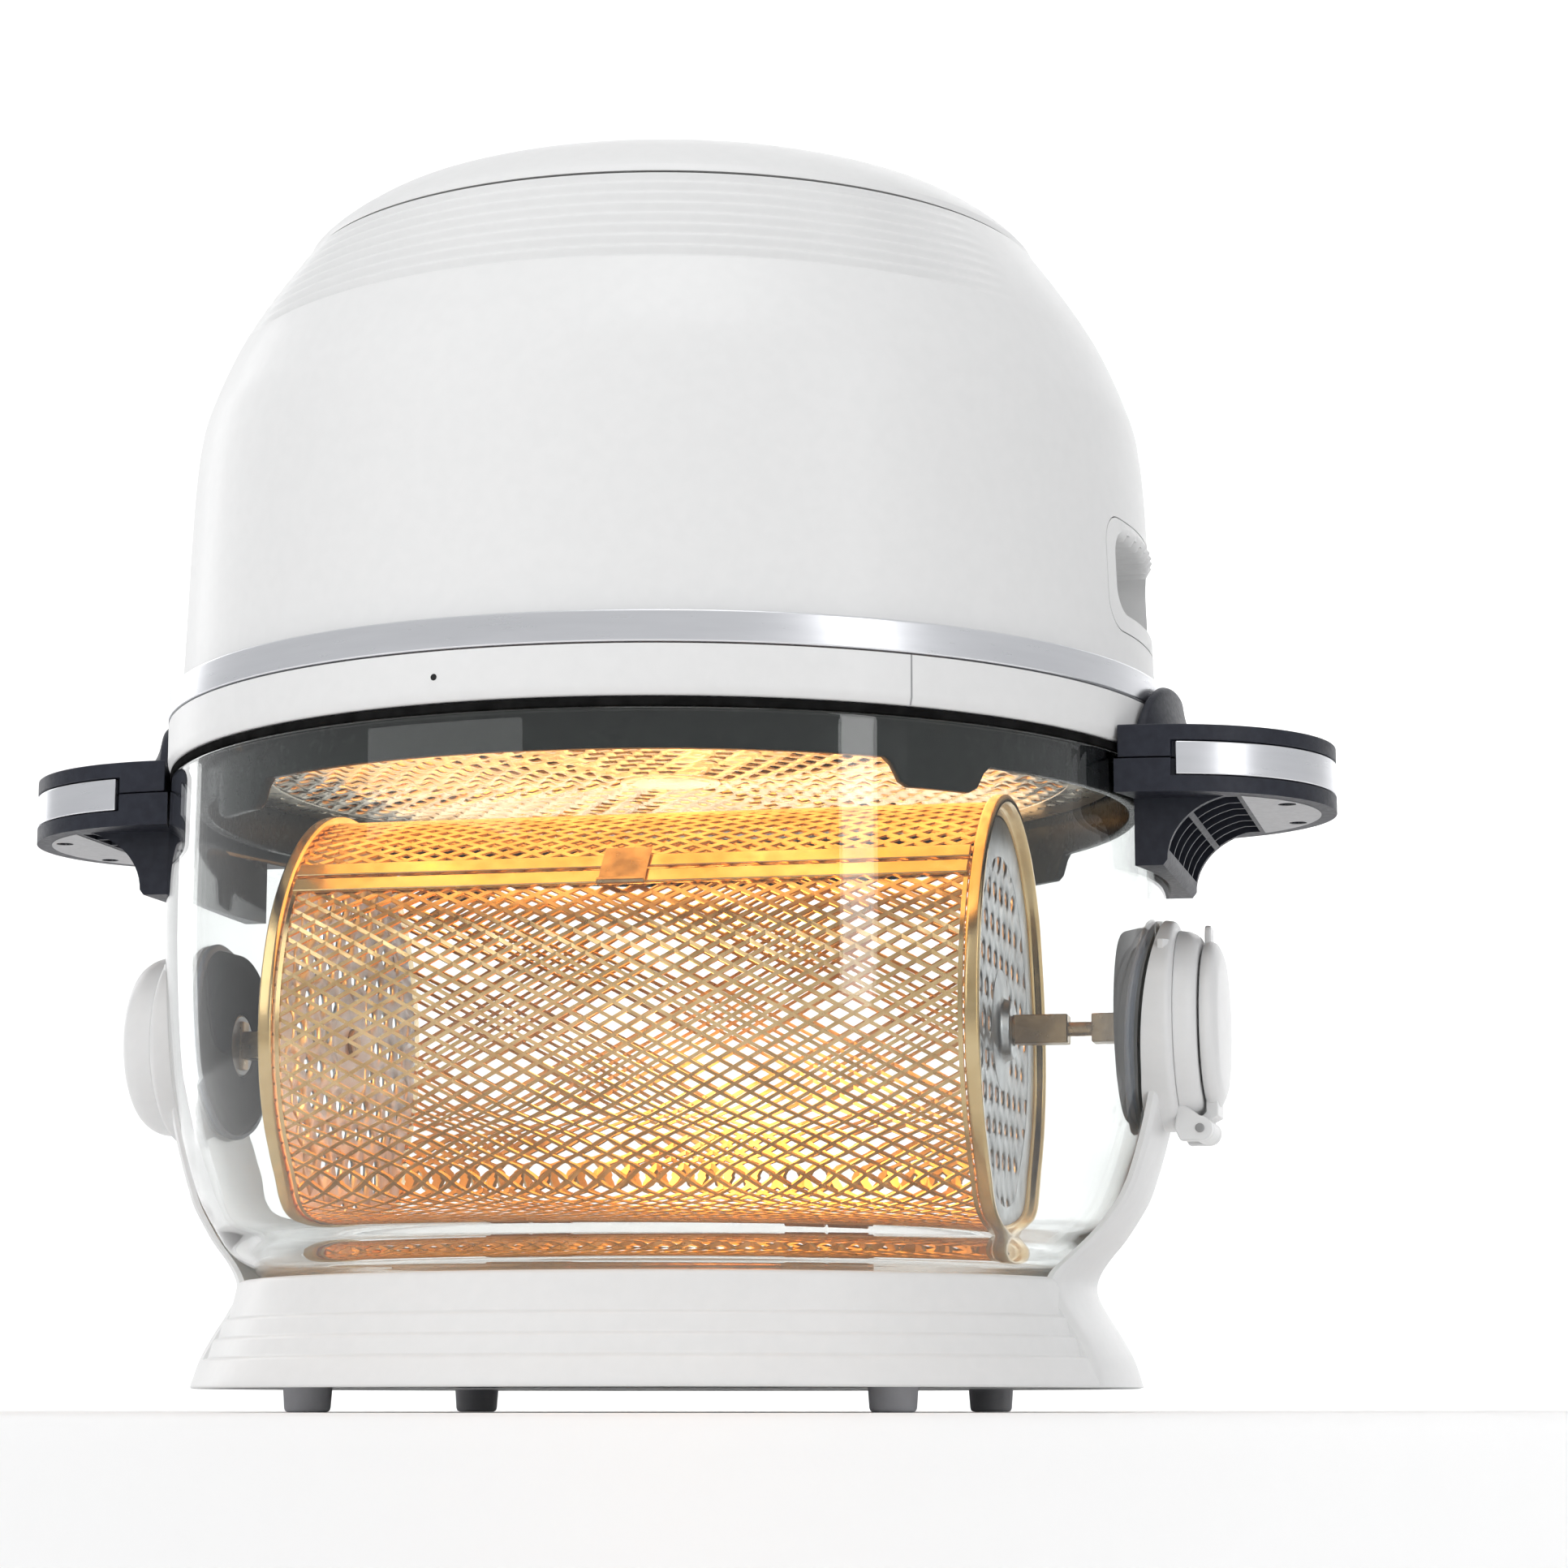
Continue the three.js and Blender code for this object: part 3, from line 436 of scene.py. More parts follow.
def arm(side, flip):
    rows, cols = 96, 40
    z0, z1 = 6.9, 132.0
    verts, faces = [], []
    for layer in (0, 1):
        for i in range(rows + 1):
            z = z0 + (z1 - z0) * i / rows
            w = arm_half(z)
            ro = table_at(curve_through(ARM_OUT, 4), z) if i == -1 else arm_r(z)
            for j in range(cols + 1):
                u = -1 + 2 * j / cols
                y = w * u
                r = ro - (2.6 if layer else 0.0)
                # the strip's long edges turn in
                if not layer:
                    r -= 1.1 * max(0.0, (abs(u) - 0.93) / 0.07) ** 2
                x = math.sqrt(max(1, r * r - y * y))
                if z > 40 and layer:
                    x = max(x, glass_x(y, z, False, 0.35))
                verts.append((flip * x, y, z))
    n = (rows + 1) * (cols + 1)

    def idx(l, i, j):
        return l * n + i * (cols + 1) + j
    for i in range(rows):
        for j in range(cols):
            faces.append((idx(0, i, j), idx(0, i, j + 1), idx(0, i + 1, j + 1), idx(0, i + 1, j)))
            faces.append((idx(1, i, j), idx(1, i + 1, j), idx(1, i + 1, j + 1), idx(1, i, j + 1)))
        faces.append((idx(0, i, 0), idx(0, i + 1, 0), idx(1, i + 1, 0), idx(1, i, 0)))
        faces.append((idx(0, i, cols), idx(1, i, cols), idx(1, i + 1, cols), idx(0, i + 1, cols)))
    for j in range(cols):
        faces.append((idx(0, 0, j), idx(1, 0, j), idx(1, 0, j + 1), idx(0, 0, j + 1)))
        faces.append((idx(0, rows, j), idx(0, rows, j + 1), idx(1, rows, j + 1), idx(1, rows, j)))
    strip = build(f"arm_{side}_strip", verts, faces, M["white_hub"], "stand", 40)
    # flange that the glass is clamped by
    def seat(x, y, z, r):
        return glass_x(y, z, False, 0.5) if x < 100 else x
    fl = lathe_x(
        f"arm_{side}_flange",
        [(0, 20), (0, 30.4)] + rounded([(142, 30.5), (150.8, 30.2), (151.8, 27.4), (151.8, 20)], [0, 2.4, 1.0, 0], 5)[1:],
        M["white_hub"], "stand", seg=128, warp=seat, flip=flip)
    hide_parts(f"arm_{side}")
    return strip


_arm_curve = curve_through(ARM_OUT, 6)


def arm_r(z):
    return table_at(_arm_curve, z)


arm("right", 1)
arm("left", -1)

# ------------------------------------------------------------------ hubs
cover = lathe_x("hub_right_body", rounded(
    [(149.2, 12), (149.2, 20), (151.8, 20), (151.8, 27.4), (155.6, 26.9), (158.2, 24.9), (158.2, 18.5), (155.4, 18), (155.4, 12)],
    [0, 0, 0, 0.5, 1.6, 1.3, 0.4, 0.4, 0], 5), M["white_hub"], "stand")
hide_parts("hub_cover_right")
# near-black disc at the socket's floor: painted shade of the recess
socket_floor = lathe_x("hub_right_socket", [(149.2, 0.01), (149.2, 20), (150.2, 20), (150.2, 0.01)], M["hole"], "stand", seg=64)
for tag, y0, y1 in (("front", -13.4, -8.2), ("rear", 8.2, 13.4)):
    lug_shape = []
    for i in range(25):
        a = math.radians(-90 + 180 * i / 24)
        lug_shape.append((157.6 + 3.5 * math.cos(a), 79.2 + 3.5 * math.sin(a)))
    lug_shape += [(155.4, 84.4), (153, 86), (151.4, 86), (150.4, 79), (152, 75.7)]
    l = prism(f"hub_lug_{tag}", lug_shape, "y", y0, y1, M["white_hub"], "stand", 30)
    bevel(l, 0.5, 3)
pin = prism("flap_hinge_pin", [(157.6 + 1.3 * math.cos(2 * PI * i / 24), 79.2 + 1.3 * math.sin(2 * PI * i / 24)) for i in range(24)], "y", -14, 14, M["dark_steel"], "stand", 30)
bevel(pin, 0.3, 2)
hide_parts("flap_pin")

flap = lathe_x("flap_disc", rounded(
    [(158.8, 0.01), (158.8, 23.2), (160.2, 24.2), (162.2, 23.6), (163.8, 20.4), (164.5, 12), (164.8, 0.01)],
    [0, 0.6, 0.8, 1.2, 4, 4, 0], 5), M["white_hub"], "flap")
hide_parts("hub_flap")
tab = prism("flap_tab", rounded([(-5, AXLE_Z + 21), (5, AXLE_Z + 21), (4.4, AXLE_Z + 28.6), (-4.4, AXLE_Z + 28.6)], [0, 0, 2.4, 2.4], 6), "x", 158.9, 160.7, M["white_hub"], "flap", 30)
bevel(tab, 0.5, 3)
kn = []
for i in range(33):
    a = math.radians(-200 + 250 * i / 32)
    kn.append((157.6 + 3.5 * math.cos(a), 79.2 + 3.5 * math.sin(a)))
kn += [(162.2, 83), (162.2, 91), (158.9, 91), (158.9, 84)]
k = prism("flap_knuckle", kn, "y", -7.7, 7.7, M["white_hub"], "flap", 30)
bevel(k, 0.45, 3)

cover_l = lathe_x("hub_left_body", rounded(
    [(151.8, 21.8), (151.8, 27.4), (157.6, 26.8), (161.4, 24.6), (163.8, 18), (164.8, 0.01), (163.2, 0.01), (161.4, 20.6)],
    [0, 0.6, 2.4, 3, 6, 0, 0, 2], 6), M["white_hub"], "stand", flip=-1)
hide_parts("hub_cover_left")
N["spit_motor"].data.materials.clear()
N["spit_motor"].data.materials.append(M["dark_steel"])


# seals and gaskets
def in_seat(x, y, z, r):
    return glass_x(y, z, True, 0.35) if x < 100 else x


for side, flip in (("right", 1), ("left", -1)):
    hole_r = 6.0 if side == "right" else 10.4
    prof = [(0, 29.3)] + rounded([(143, 29.3), (134.4, 27.4), (133.6, 25.4), (133.6, hole_r)], [0, 1.2, 0.8, 0.6], 5)[1:-1] + [(133.7, hole_r), (139.6, hole_r), (139.6, 4.2), (0, 4.2)]
    sl = lathe_x(f"port_seal_{side}", prof, M["rubber"], "stand", warp=in_seat, flip=flip)
    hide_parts(f"seal_{side}")
    verts, faces = [], []
    seg = 128
    for i in range(seg):
        a = 2 * PI * i / seg
        for r, d in ((29.3, 0.25), (30.7, 0.25), (30.9, 1.3), (30.3, 2.1), (29.0, 2.3)):
            y, z = r * math.cos(a), AXLE_Z + r * math.sin(a)
            verts.append((flip * glass_x(y, z, True, d), y, z))
    for i in range(seg):
        for j in range(5):
            faces.append((i * 5 + j, i * 5 + (j + 1) % 5, ((i + 1) % seg) * 5 + (j + 1) % 5, ((i + 1) % seg) * 5 + j))
    gk = build(f"port_gasket_{side}", verts, faces, M["gasket"], "stand", 60)

dc = lathe_x("drive_coupler_cup", rounded([(134.2, 0.01), (134.2, 9.2), (134.8, 9.8), (139, 9.8), (139, 3), (157, 3), (157, 0.01)], [0, 0.2, 0.2, 0.3, 0.2, 0.3, 0], 3), M["dark_steel"], "coupler", seg=64, flip=-1)
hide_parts("drive_coupler")
rp = lathe("bowl_rest_pad", rounded([(62, 30.3), (98, 30.3), (98, 32.6), (62, 32.6)], 0.9, 4), M["pad"], "stand", seg=128)
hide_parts("rest_pad")


# ------------------------------------------------------------------ handles
def grip_plan(d, n=96, x_in=110):
    pts = []
    for i in range(n + 1):
        t = -PI / 2 + PI * i / n
        pts.append((140 + (57 - d) * max(0.0, math.cos(t)) ** 0.92, (50 - d) * math.sin(t)))
    return pts + [(x_in, 50 - d), (x_in, -(50 - d))]


def cyl_cutter(r, z0, z1):
    return lathe("tmp_cyl", [(0.01, z0), (r, z0), (r, z1), (0.01, z1)], M["white"], None, seg=256)


for side, flip in (("right", 1), ("left", -1)):
    # upper shell: grip top and the part of the block over the seam
    top = prism(f"grip_{side}_upper", grip_plan(0), "z", 179.8, 189.0, M["black"], None, flip=flip)
    boolean(top, "DIFFERENCE", cyl_cutter(148.9, 150, 215))
    groove = prism("tmp_g", grip_plan(-8), "z", 170, 184.5, M["black"], None, flip=flip)
    core = prism("tmp_c", grip_plan(1.8), "z", 160, 200, M["black"], None, flip=flip)
    inner = boxes("tmp_i", [(min(flip * 90, flip * 155), max(flip * 90, flip * 155), -80, 80, 150, 210)], M["black"])
    boolean(groove, "DIFFERENCE", core, inner)
    boolean(top, "DIFFERENCE", groove)
    bevel(top, 1.3, 4, 40)
    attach(top, "stand")
    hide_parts(f"handle_{side}_top")
    # thumb tab, a spoon-shaped lobe that rises behind the grip
    loop = rounded([(149.0, 185.5), (149.0, 203.6), (150.4, 206.2), (152.4, 205.4), (153.2, 200), (154.8, 195), (157.8, 191), (162.0, 188.9), (164, 185.5)],
                   [0, 1.2, 1.6, 1.6, 3, 3, 3, 2, 0], 4)
    verts, faces = [], []
    m, k = len(loop), 72
    for i in range(k + 1):
        s = -1 + 2 * i / k
        y = 38.5 * s
        h = max(0.0, 1 - abs(s) ** 3.2) ** 0.55
        for r, z in loop:
            zz = 185.5 + (z - 185.5) * h
            rr = 149.0 + (r - 149.0) * (0.55 + 0.45 * h)
            verts.append((flip * math.sqrt(rr * rr - y * y), y, zz))
    for i in range(k):
        for j in range(m):
            faces.append((i * m + j, i * m + (j + 1) % m, (i + 1) * m + (j + 1) % m, (i + 1) * m + j))
    thumb = build(f"grip_{side}_thumb", verts, faces, M["black"], "stand", 40)
    # lower shell: grip underside and the coved bracket down the glass
    low = prism(f"grip_{side}_lower", grip_plan(0), "z", 170.0, 179.4, M["black"], None, flip=flip)
    cove = [(141, 179.0), (141, 151.0)] + [(151.2, 151.0)]
    for i in range(17):
        t = i / 16 * PI / 2
        cove.append((174 - 21.6 * math.cos(t), 152.6 + 18.0 * math.sin(t)))
    cove += [(174, 179.0)]
    br = prism("tmp_b", cove, "y", -37, 37, M["black"], None, flip=flip)
    boolean(low, "UNION", br)
    pockets = []
    for y0, y1 in ((-34.4, -23.6), (-22.3, -12.3), (-11, -0.65), (0.65, 11), (12.3, 22.3), (23.6, 34.4)):
        for t0, t1 in ((9, 43), (48, 84)):
            sh = []
            for i in range(9):
                t = math.radians(t0 + (t1 - t0) * i / 8)
                sh.append((174 - 26.2 * math.cos(t), 152.6 + 22.8 * math.sin(t)))
            for i in range(9):
                t = math.radians(t1 + (t0 - t1) * i / 8)
                sh.append((174 - 18.5 * math.cos(t), 152.6 + 15 * math.sin(t)))
            pockets.append(prism("tmp_p", sh, "y", y0, y1, M["black"], None, flip=flip))
    boolean(low, "DIFFERENCE", *pockets)
    boolean(low, "DIFFERENCE", cyl_cutter(148.0, 120, 215))
    groove = prism("tmp_g", grip_plan(-8), "z", 174.5, 190, M["black"], None, flip=flip)
    core = prism("tmp_c", grip_plan(1.8), "z", 160, 200, M["black"], None, flip=flip)
    inner = boxes("tmp_i", [(min(flip * 90, flip * 155), max(flip * 90, flip * 155), -80, 80, 150, 210)], M["black"])
    boolean(groove, "DIFFERENCE", core, inner)
    boolean(low, "DIFFERENCE", groove)
    for sy in (-18, 18):
        hc = lathe("tmp_h", [(0.01, 160), (2.6, 160), (2.6, 176), (0.01, 176)], M["hole"], None, seg=32)
        hc.data.transform(Matrix.Translation((flip * 0.1844, sy * MM, 0)))
        boolean(low, "DIFFERENCE", hc)
    bevel(low, 0.55, 3, 40)
    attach(low, "stand")
    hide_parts(f"handle_{side}_bottom")
    # underplate coloured light grey as painted floor light on the grip's underside, with the two screw recesses
    up = prism(f"grip_{side}_underplate", [p for p in grip_plan(4.5)[:-2] if p[0] > 172.6], "z", 169.85, 170.3, M["underplate"], None, flip=flip)
    for sy in (-18, 18):
        hc = lathe("tmp_h", [(0.01, 160), (2.6, 160), (2.6, 176), (0.01, 176)], M["hole"], None, seg=32)
        hc.data.transform(Matrix.Translation((flip * 0.1844, sy * MM, 0)))
        boolean(up, "DIFFERENCE", hc)
    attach(up, "stand")
    # silver trim round the grip's edge
    outer = [p for p in grip_plan(0)[:-2] if p[0] > 155.2]
    inn = [p for p in grip_plan(1.5)[:-2] if p[0] > 155.2]
    trim = prism(f"grip_{side}_trim", outer + inn[::-1], "z", 174.8, 184.2, M["silver"], "stand", 40, flip=flip)
    bevel(trim, 0.4, 3, 50)
    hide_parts(f"handle_{side}_trim")
    for tag, sy in (("front", -18), ("rear", 18)):
        sc = lathe(f"grip_{side}_screw_{tag}", rounded([(0.01, 173.2), (0.9, 173.2), (0.9, 172.6), (2.2, 172.6), (2.2, 175.6), (0.01, 175.6)], [0, 0, 0, 0.4, 0.2, 0], 3), M["dark_steel"], None, seg=32)
        sc.data.transform(Matrix.Translation((flip * 0.1844, sy * MM, 0)))
        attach(sc, "stand")
        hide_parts(f"handle_{side}_screw_{tag}")

# ------------------------------------------------------------------ head: ring, band, dome, cap
ring = lathe("head_lower_ring", rounded([(139.8, 185.2), (142, 184.8), (147.3, 184.8), (148.1, 187), (148.1, 198.6), (139.8, 198.6)], [0, 0.4, 0.8, 1.2, 0.5, 0], 5), M["white"], "head", seg=256)
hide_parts("lower_ring")
band = lathe("head_trim_band", rounded([(140, 199.0), (148.3, 199.0), (148.3, 207.6), (140, 207.8)], [0, 0.5, 0.7, 0], 4), M["silver"], "head", seg=256)
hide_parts("trim_band")
gasket = lathe("rim_gasket_ring", rounded([(142.4, 182.2), (147.3, 182.2), (147.3, 184.5), (142.4, 184.5)], 0.6, 3), M["rubber"], "head", seg=192)
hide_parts("rim_gasket")

DOME = [(144.4, 208.2), (144.0, 216), (143.6, 226), (143.2, 237), (142.7, 250), (142, 265), (141, 277), (139.5, 286.4), (137.2, 293.4), (134.7, 299.8),
        (131.9, 306.2), (128.5, 312.8), (124.5, 319.4), (119.8, 326.4), (115.2, 332.8), (111.2, 338.2)]
dome_curve = curve_through(DOME, 10)


def rib_depth(z, a):
    if z < 307.5 or z > 339:
        return 0.0
    edge = sm(z, 307.5, 310.5)
    face = 1 - sm(abs(math.cos(a)), 0.70, 0.90)
    s = (z - 308.2) / 3.78
    wave = 0.5 - 0.5 * math.cos(2 * PI * s)
    return 1.75 * edge * face * wave ** 0.8


def dome_warp(r, z, a):
    if r > 105 and z > 300:
        d = rib_depth(z, a)
        return r - d * 0.82, z - d * 0.5
    return r, z


fine = []
for i, (r, z) in enumerate(dome_curve[:-1]):
    nr, nz = dome_curve[i + 1]
    steps = 4 if z > 300 else 1
    for s in range(steps):
        fine.append((r + (nr - r) * s / steps, z + (nz - z) * s / steps))
fine.append(dome_curve[-1])
inner_dome = [(108.4, 336.6), (121.5, 318.4), (133.8, 293.4), (139, 265), (141.4, 208.4)]
dome = lathe("dome_body", rounded([(141.4, 208.4), (144.4, 208.2)], 0) + fine[1:] + inner_dome[:-1], M["white"], None, seg=320, sharp=60, warp=dome_warp)
for sgn in (1, -1):
    c = prism("tmp_cut", round_rect(0, 235.5, 41.3, 16.8, 9.3, 10), "x", 100, 170, M["white"], None, flip=sgn)
    boolean(dome, "DIFFERENCE", c)
c = prism("tmp_cut", round_rect(0, 241, 32.3, 12.7, 6.3, 8), "y", 100, 170, M["white"], None)
boolean(dome, "DIFFERENCE", c)
c = prism("tmp_cut", [(6.5 * math.cos(2 * PI * i / 32), 217.2 + 6.5 * math.sin(2 * PI * i / 32)) for i in range(32)], "y", 120, 160, M["white"], None)
boolean(dome, "DIFFERENCE", c)
finish_shading(dome.data, 40)
bevel(dome, 0.35, 2, 50)
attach(dome, "head")
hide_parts("dome_shell")


def dome_skin(depth, z0=212, z1=262):
    """A thick piece of the dome's wall, for the inserts to be cut from."""
    zs = [z0 + (z1 - z0) * i / 24 for i in range(25)]
    prof = [(table_at(dome_curve, z), z) for z in zs] + [(table_at(dome_curve, zs[-1]) - depth, z1), (table_at(dome_curve, zs[0]) - depth, z0)]
    return lathe("tmp_skin", prof, M["white"], None, seg=320)


for side, sgn in (("right", 1), ("left", -1)):
    g = prism(f"grip_pocket_{side}", round_rect(0, 235.5, 40.9, 16.4, 8.9, 12), "x", 118, 150, M["white"], None, flip=sgn)
    boolean(g, "INTERSECT", dome_skin(30))
    hollow = prism("tmp_hollow", round_rect(0, 236.5, 35, 12.2, 8, 12), "x", 121, 170, M["white"], None, flip=sgn)
    boolean(g, "DIFFERENCE", hollow)
    finish_shading(g.data, 40)
    bevel(g, 0.9, 4, 50)
    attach(g, "head")
    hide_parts(f"grip_insert_{side}")
    # knurls along the upper lip, and faint ribs on the pocket's back wall
    verts, faces = [], []
    for y in (-26, -18.5, -11, -3.7, 3.7, 11, 18.5, 26):
        q0 = len(verts)
        ns, na = 10, 20
        x_end = math.sqrt(143.1 ** 2 - y * y) + 0.9
        for i in range(ns + 1):
            t = i / ns
            x = 124 + (x_end - 124) * t
            rr = 2.9 * math.sqrt(max(0.0, 1 - max(0.0, (t - 0.86) / 0.14) ** 2)) + 0.02
            for j in range(na):
                a = 2 * PI * j / na
                verts.append((sgn * x, y + rr * math.cos(a), 249.2 + rr * math.sin(a)))
        for i in range(ns):
            for j in range(na):
                faces.append((q0 + i * na + j, q0 + i * na + (j + 1) % na, q0 + (i + 1) * na + (j + 1) % na, q0 + (i + 1) * na + j))
        faces.append(tuple(q0 + j for j in range(na)))
        faces.append(tuple(q0 + ns * na + j for j in reversed(range(na))))
    kn = build(f"grip_knurls_{side}", verts, faces, M["white"], "head", 60)
    ribs = boxes(f"grip_back_ribs_{side}", [(min(sgn * 120.8, sgn * 122.2), max(sgn * 120.8, sgn * 122.2), -33.5, 33.5, z - 0.7, z + 0.7) for z in (228.5, 232.5, 236.5, 240.5, 244.5)], M["white"], "head", 0.4)

vent = prism("rear_vent_panel", round_rect(0, 241, 32, 12.4, 6, 10), "y", 137, 150, M["white"], None)
boolean(vent, "INTERSECT", dome_skin(6))
slots_cut = []
for i in range(4):
    z = 233 + 5 * i
    slots_cut.append(prism("tmp_slot", round_rect(0, z + 1.2, 27, 1.2, 1.15, 6), "y", 120, 160, M["white"], None))
boolean(vent, "DIFFERENCE", *slots_cut)
finish_shading(vent.data, 40)
bevel(vent, 0.4, 3, 50)
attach(vent, "head")
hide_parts("rear_vent")
inlet = lathe("cord_gland", rounded([(3.6, -5), (6, -5), (6, 3.4), (7.4, 3.4), (7.4, 6), (3.6, 6)], [0, 0, 0.2, 0.5, 1.2, 0.8], 4), M["black"], None, seg=48)
inlet.data.transform(Matrix.Translation((0, 0.1416, 0.2172)) @ Matrix.Rotation(-PI / 2, 4, "X"))
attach(inlet, "head")
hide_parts("cord_inlet")

cap_curve = curve_through([(109.6, 341.2), (107.6, 343.4), (104.4, 346.2), (100.6, 349), (96.6, 351.6), (92, 353.9), (84, 356.8), (72, 360), (55, 363.8), (38, 366.9), (20, 369.1), (0.01, 370)], 6)
cap = lathe("dome_cap", [(108.2, 339.0), (110.1, 339.1)] + cap_curve + [(0.01, 367.4), (54.6, 361.0), (88.8, 351.2), (96, 347.4)], M["white"], "head", seg=256, sharp=40)
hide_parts("top_cap")
cp = lathe("touch_panel", rounded([(0.01, 370.25), (20, 369.4), (38, 367.3), (45.4, 366.0), (45.6, 366.9), (38, 368.4), (20, 370.5), (0.01, 371.2)], [0, 0, 0, 0.1, 0.5, 3, 3, 0], 4), M["panel"], "head", seg=192, sharp=50)
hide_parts("control_panel")


def panel_z(r):
    return table_at([(371.2, 0), (370.5, 20), (368.4, 38), (366.9, 45.6)], r)


def patch(name, polys, mat, lift=0.03):
    """Flat outlines laid on the touch panel."""
    verts, faces = [], []
    for poly in polys:
        k = len(verts)
        verts += [(x, y, panel_z(math.hypot(x, y)) + lift) for x, y in poly]
        faces.append(tuple(range(k, k + len(poly))))
    ob = build(name, verts, faces, mat, "head", 60)
    return ob


marks = []
for i in range(8):
    a = math.radians(180 + 180 * (i + 0.5) / 8)
    cx, cy = 33 * math.cos(a), 33 * math.sin(a)
    ring_o = [(cx + 3.0 * math.cos(2 * PI * j / 24), cy + 3.0 * math.sin(2 * PI * j / 24)) for j in range(24)]
    ring_i = [(cx + 2.5 * math.cos(2 * PI * j / 24), cy + 2.5 * math.sin(2 * PI * j / 24)) for j in range(24)]
    for j in range(24):
        marks.append([ring_o[j], ring_o[(j + 1) % 24], ring_i[(j + 1) % 24], ring_i[j]])
for x0, x1, y0, y1 in ((-16, 16, 19.4, 20), (-16, 16, 5, 5.6), (-16, -15.4, 5, 20), (15.4, 16, 5, 20)):
    marks.append([(x0, y0), (x1, y0), (x1, y1), (x0, y1)])
patch("touch_panel_marks", marks, M["ink"], 0.12)

# seam and pin hole on the lower ring; the pin hole is a flat disc coloured near-black as painted shade
seam_a = math.radians(-90 + 14 + 25.5)
verts, faces = [], []
for z in (184.9, 187.0, 198.5):
    rr = 147.45 if z < 186 else 148.13
    for da in (-0.0017, 0.0017):
        verts.append((rr * math.cos(seam_a + da), rr * math.sin(seam_a + da), z))
for i in range(2):
    faces.append((i * 2, i * 2 + 1, i * 2 + 3, i * 2 + 2))
seam = build("ring_seam", verts, faces, M["seam"], "head", 60)
ha = math.radians(-90 - 11.0)
hc = Vector((148.16 * math.cos(ha), 148.16 * math.sin(ha), 191.6))
t1 = Vector((-math.sin(ha), math.cos(ha), 0))
verts = [tuple(hc + t1 * (0.9 * math.cos(2 * PI * j / 20)) + Vector((0, 0, 0.9 * math.sin(2 * PI * j / 20)))) for j in range(20)]
ph = build("ring_pin_hole", verts, [tuple(range(20))], M["hole"], "head", 60)

# ------------------------------------------------------------------ skirt, guard and works of the head
def skirt_warp(r, z, a):
    if z < 173:
        d = abs(((math.degrees(a) - 45 + 45) % 90) - 45)
        half = d * PI / 180 * 138
        t = 1 - sm(half, 10.5, 16.5)
        return r, z - 7.6 * t
    return r, z


skirt = lathe("skirt_band", rounded([(136.0, 172.0), (139.2, 172.0), (139.2, 198), (136.0, 198)], [0.8, 0.8, 0, 0], 3), M["skirt"], "head", seg=360, warp=skirt_warp, sharp=50)
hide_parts("inner_skirt")


def perforated(name, inside, pitch, hole_r, place, mat, body, thick, edge=None, ring_n=12):
    """A sheet of hexagonal cells, each with a round hole. place(u, v) gives the point in mm."""
    verts, faces = [], []
    dx, dy = pitch, pitch * math.sqrt(3) / 2
    n = int(140 / pitch) + 2
    for j in range(-n, n + 1):
        for i in range(-n, n + 1):
            cu, cv = (i + 0.5 * (j % 2)) * dx, j * dy
            if not inside(cu, cv):
                continue
            k = len(verts)
            for a in range(ring_n):
                t = 2 * PI * a / ring_n + PI / 6
                # a hexagon's edge at this angle
                s = (t - PI / 6) % (PI / 3)
                rh = (pitch / 2) / math.cos(s - PI / 6)
                tt = t
                verts.append(place(cu + rh * math.cos(tt), cv + rh * math.sin(tt)))
            for a in range(ring_n):
                t = 2 * PI * a / ring_n + PI / 6
                verts.append(place(cu + hole_r * math.cos(t), cv + hole_r * math.sin(t)))
            for a in range(ring_n):
                b = (a + 1) % ring_n
                faces.append((k + a, k + b, k + ring_n + b, k + ring_n + a))
    ob = build(name, verts, faces, mat, body, 40)
    s = ob.modifiers.new("sheet", "SOLIDIFY")
    s.thickness = thick * MM
    s.offset = 0
    return ob


gd = perforated("heater_guard_sheet", lambda u, v: 12 < math.hypot(u, v) < 126, 8.0, 2.7,
                lambda u, v: (u, v, 185.2 + 0.5 * math.sin(math.hypot(u, v) * 0.9)), M["guard"], "head", 0.9)
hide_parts("heater_guard")
gr = lathe("heater_guard_rim", rounded([(119, 184.6), (134.9, 184.6), (134.9, 186), (119, 186)], 0.5, 3), M["guard"], "head", seg=192)
gh = lathe("heater_guard_hub", rounded([(0.01, 184.5), (15, 184.5), (15, 185.9), (0.01, 185.9)], [0, 0.5, 0.5, 0], 3), M["guard"], "head", seg=64)
coil_r = 84
verts, faces = [], []
ns, na = 220, 14
for i in range(ns):
    a = 2 * PI * i / ns
    for j in range(na):
        b = 2 * PI * j / na
        rr = coil_r + 4.3 * math.cos(b)
        verts.append((rr * math.cos(a), rr * math.sin(a), 194 + 4.3 * math.sin(b)))
for i in range(ns):
    for j in range(na):
        faces.append((i * na + j, i * na + (j + 1) % na, ((i + 1) % ns) * na + (j + 1) % na, ((i + 1) % ns) * na + j))
coil = build("heater_ring", verts, faces, M["glow"], "head", 60)
for s in (1, -1):
    leg = lathe("heater_leg_" + ("right" if s > 0 else "left"), [(0.01, 194), (3, 194), (3, 222), (0.01, 222)], M["dark_steel"], None, seg=24)
    leg.data.transform(Matrix.Translation((s * 0.083, 0, 0)))
    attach(leg, "head")
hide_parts("heater_coil")
refl = lathe("reflector_pan", rounded(
    [(12, 229.6), (12, 228.2), (61.6, 228.2), (124.6, 208), (129.6, 199.3), (134.4, 199.3), (134.4, 200.8), (130.6, 201), (125.8, 209.4), (62, 229.6)],
    [0, 0, 8, 6, 2, 0, 0, 2, 6, 8], 6), M["guard"], "head", seg=192)
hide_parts("heat_reflector")
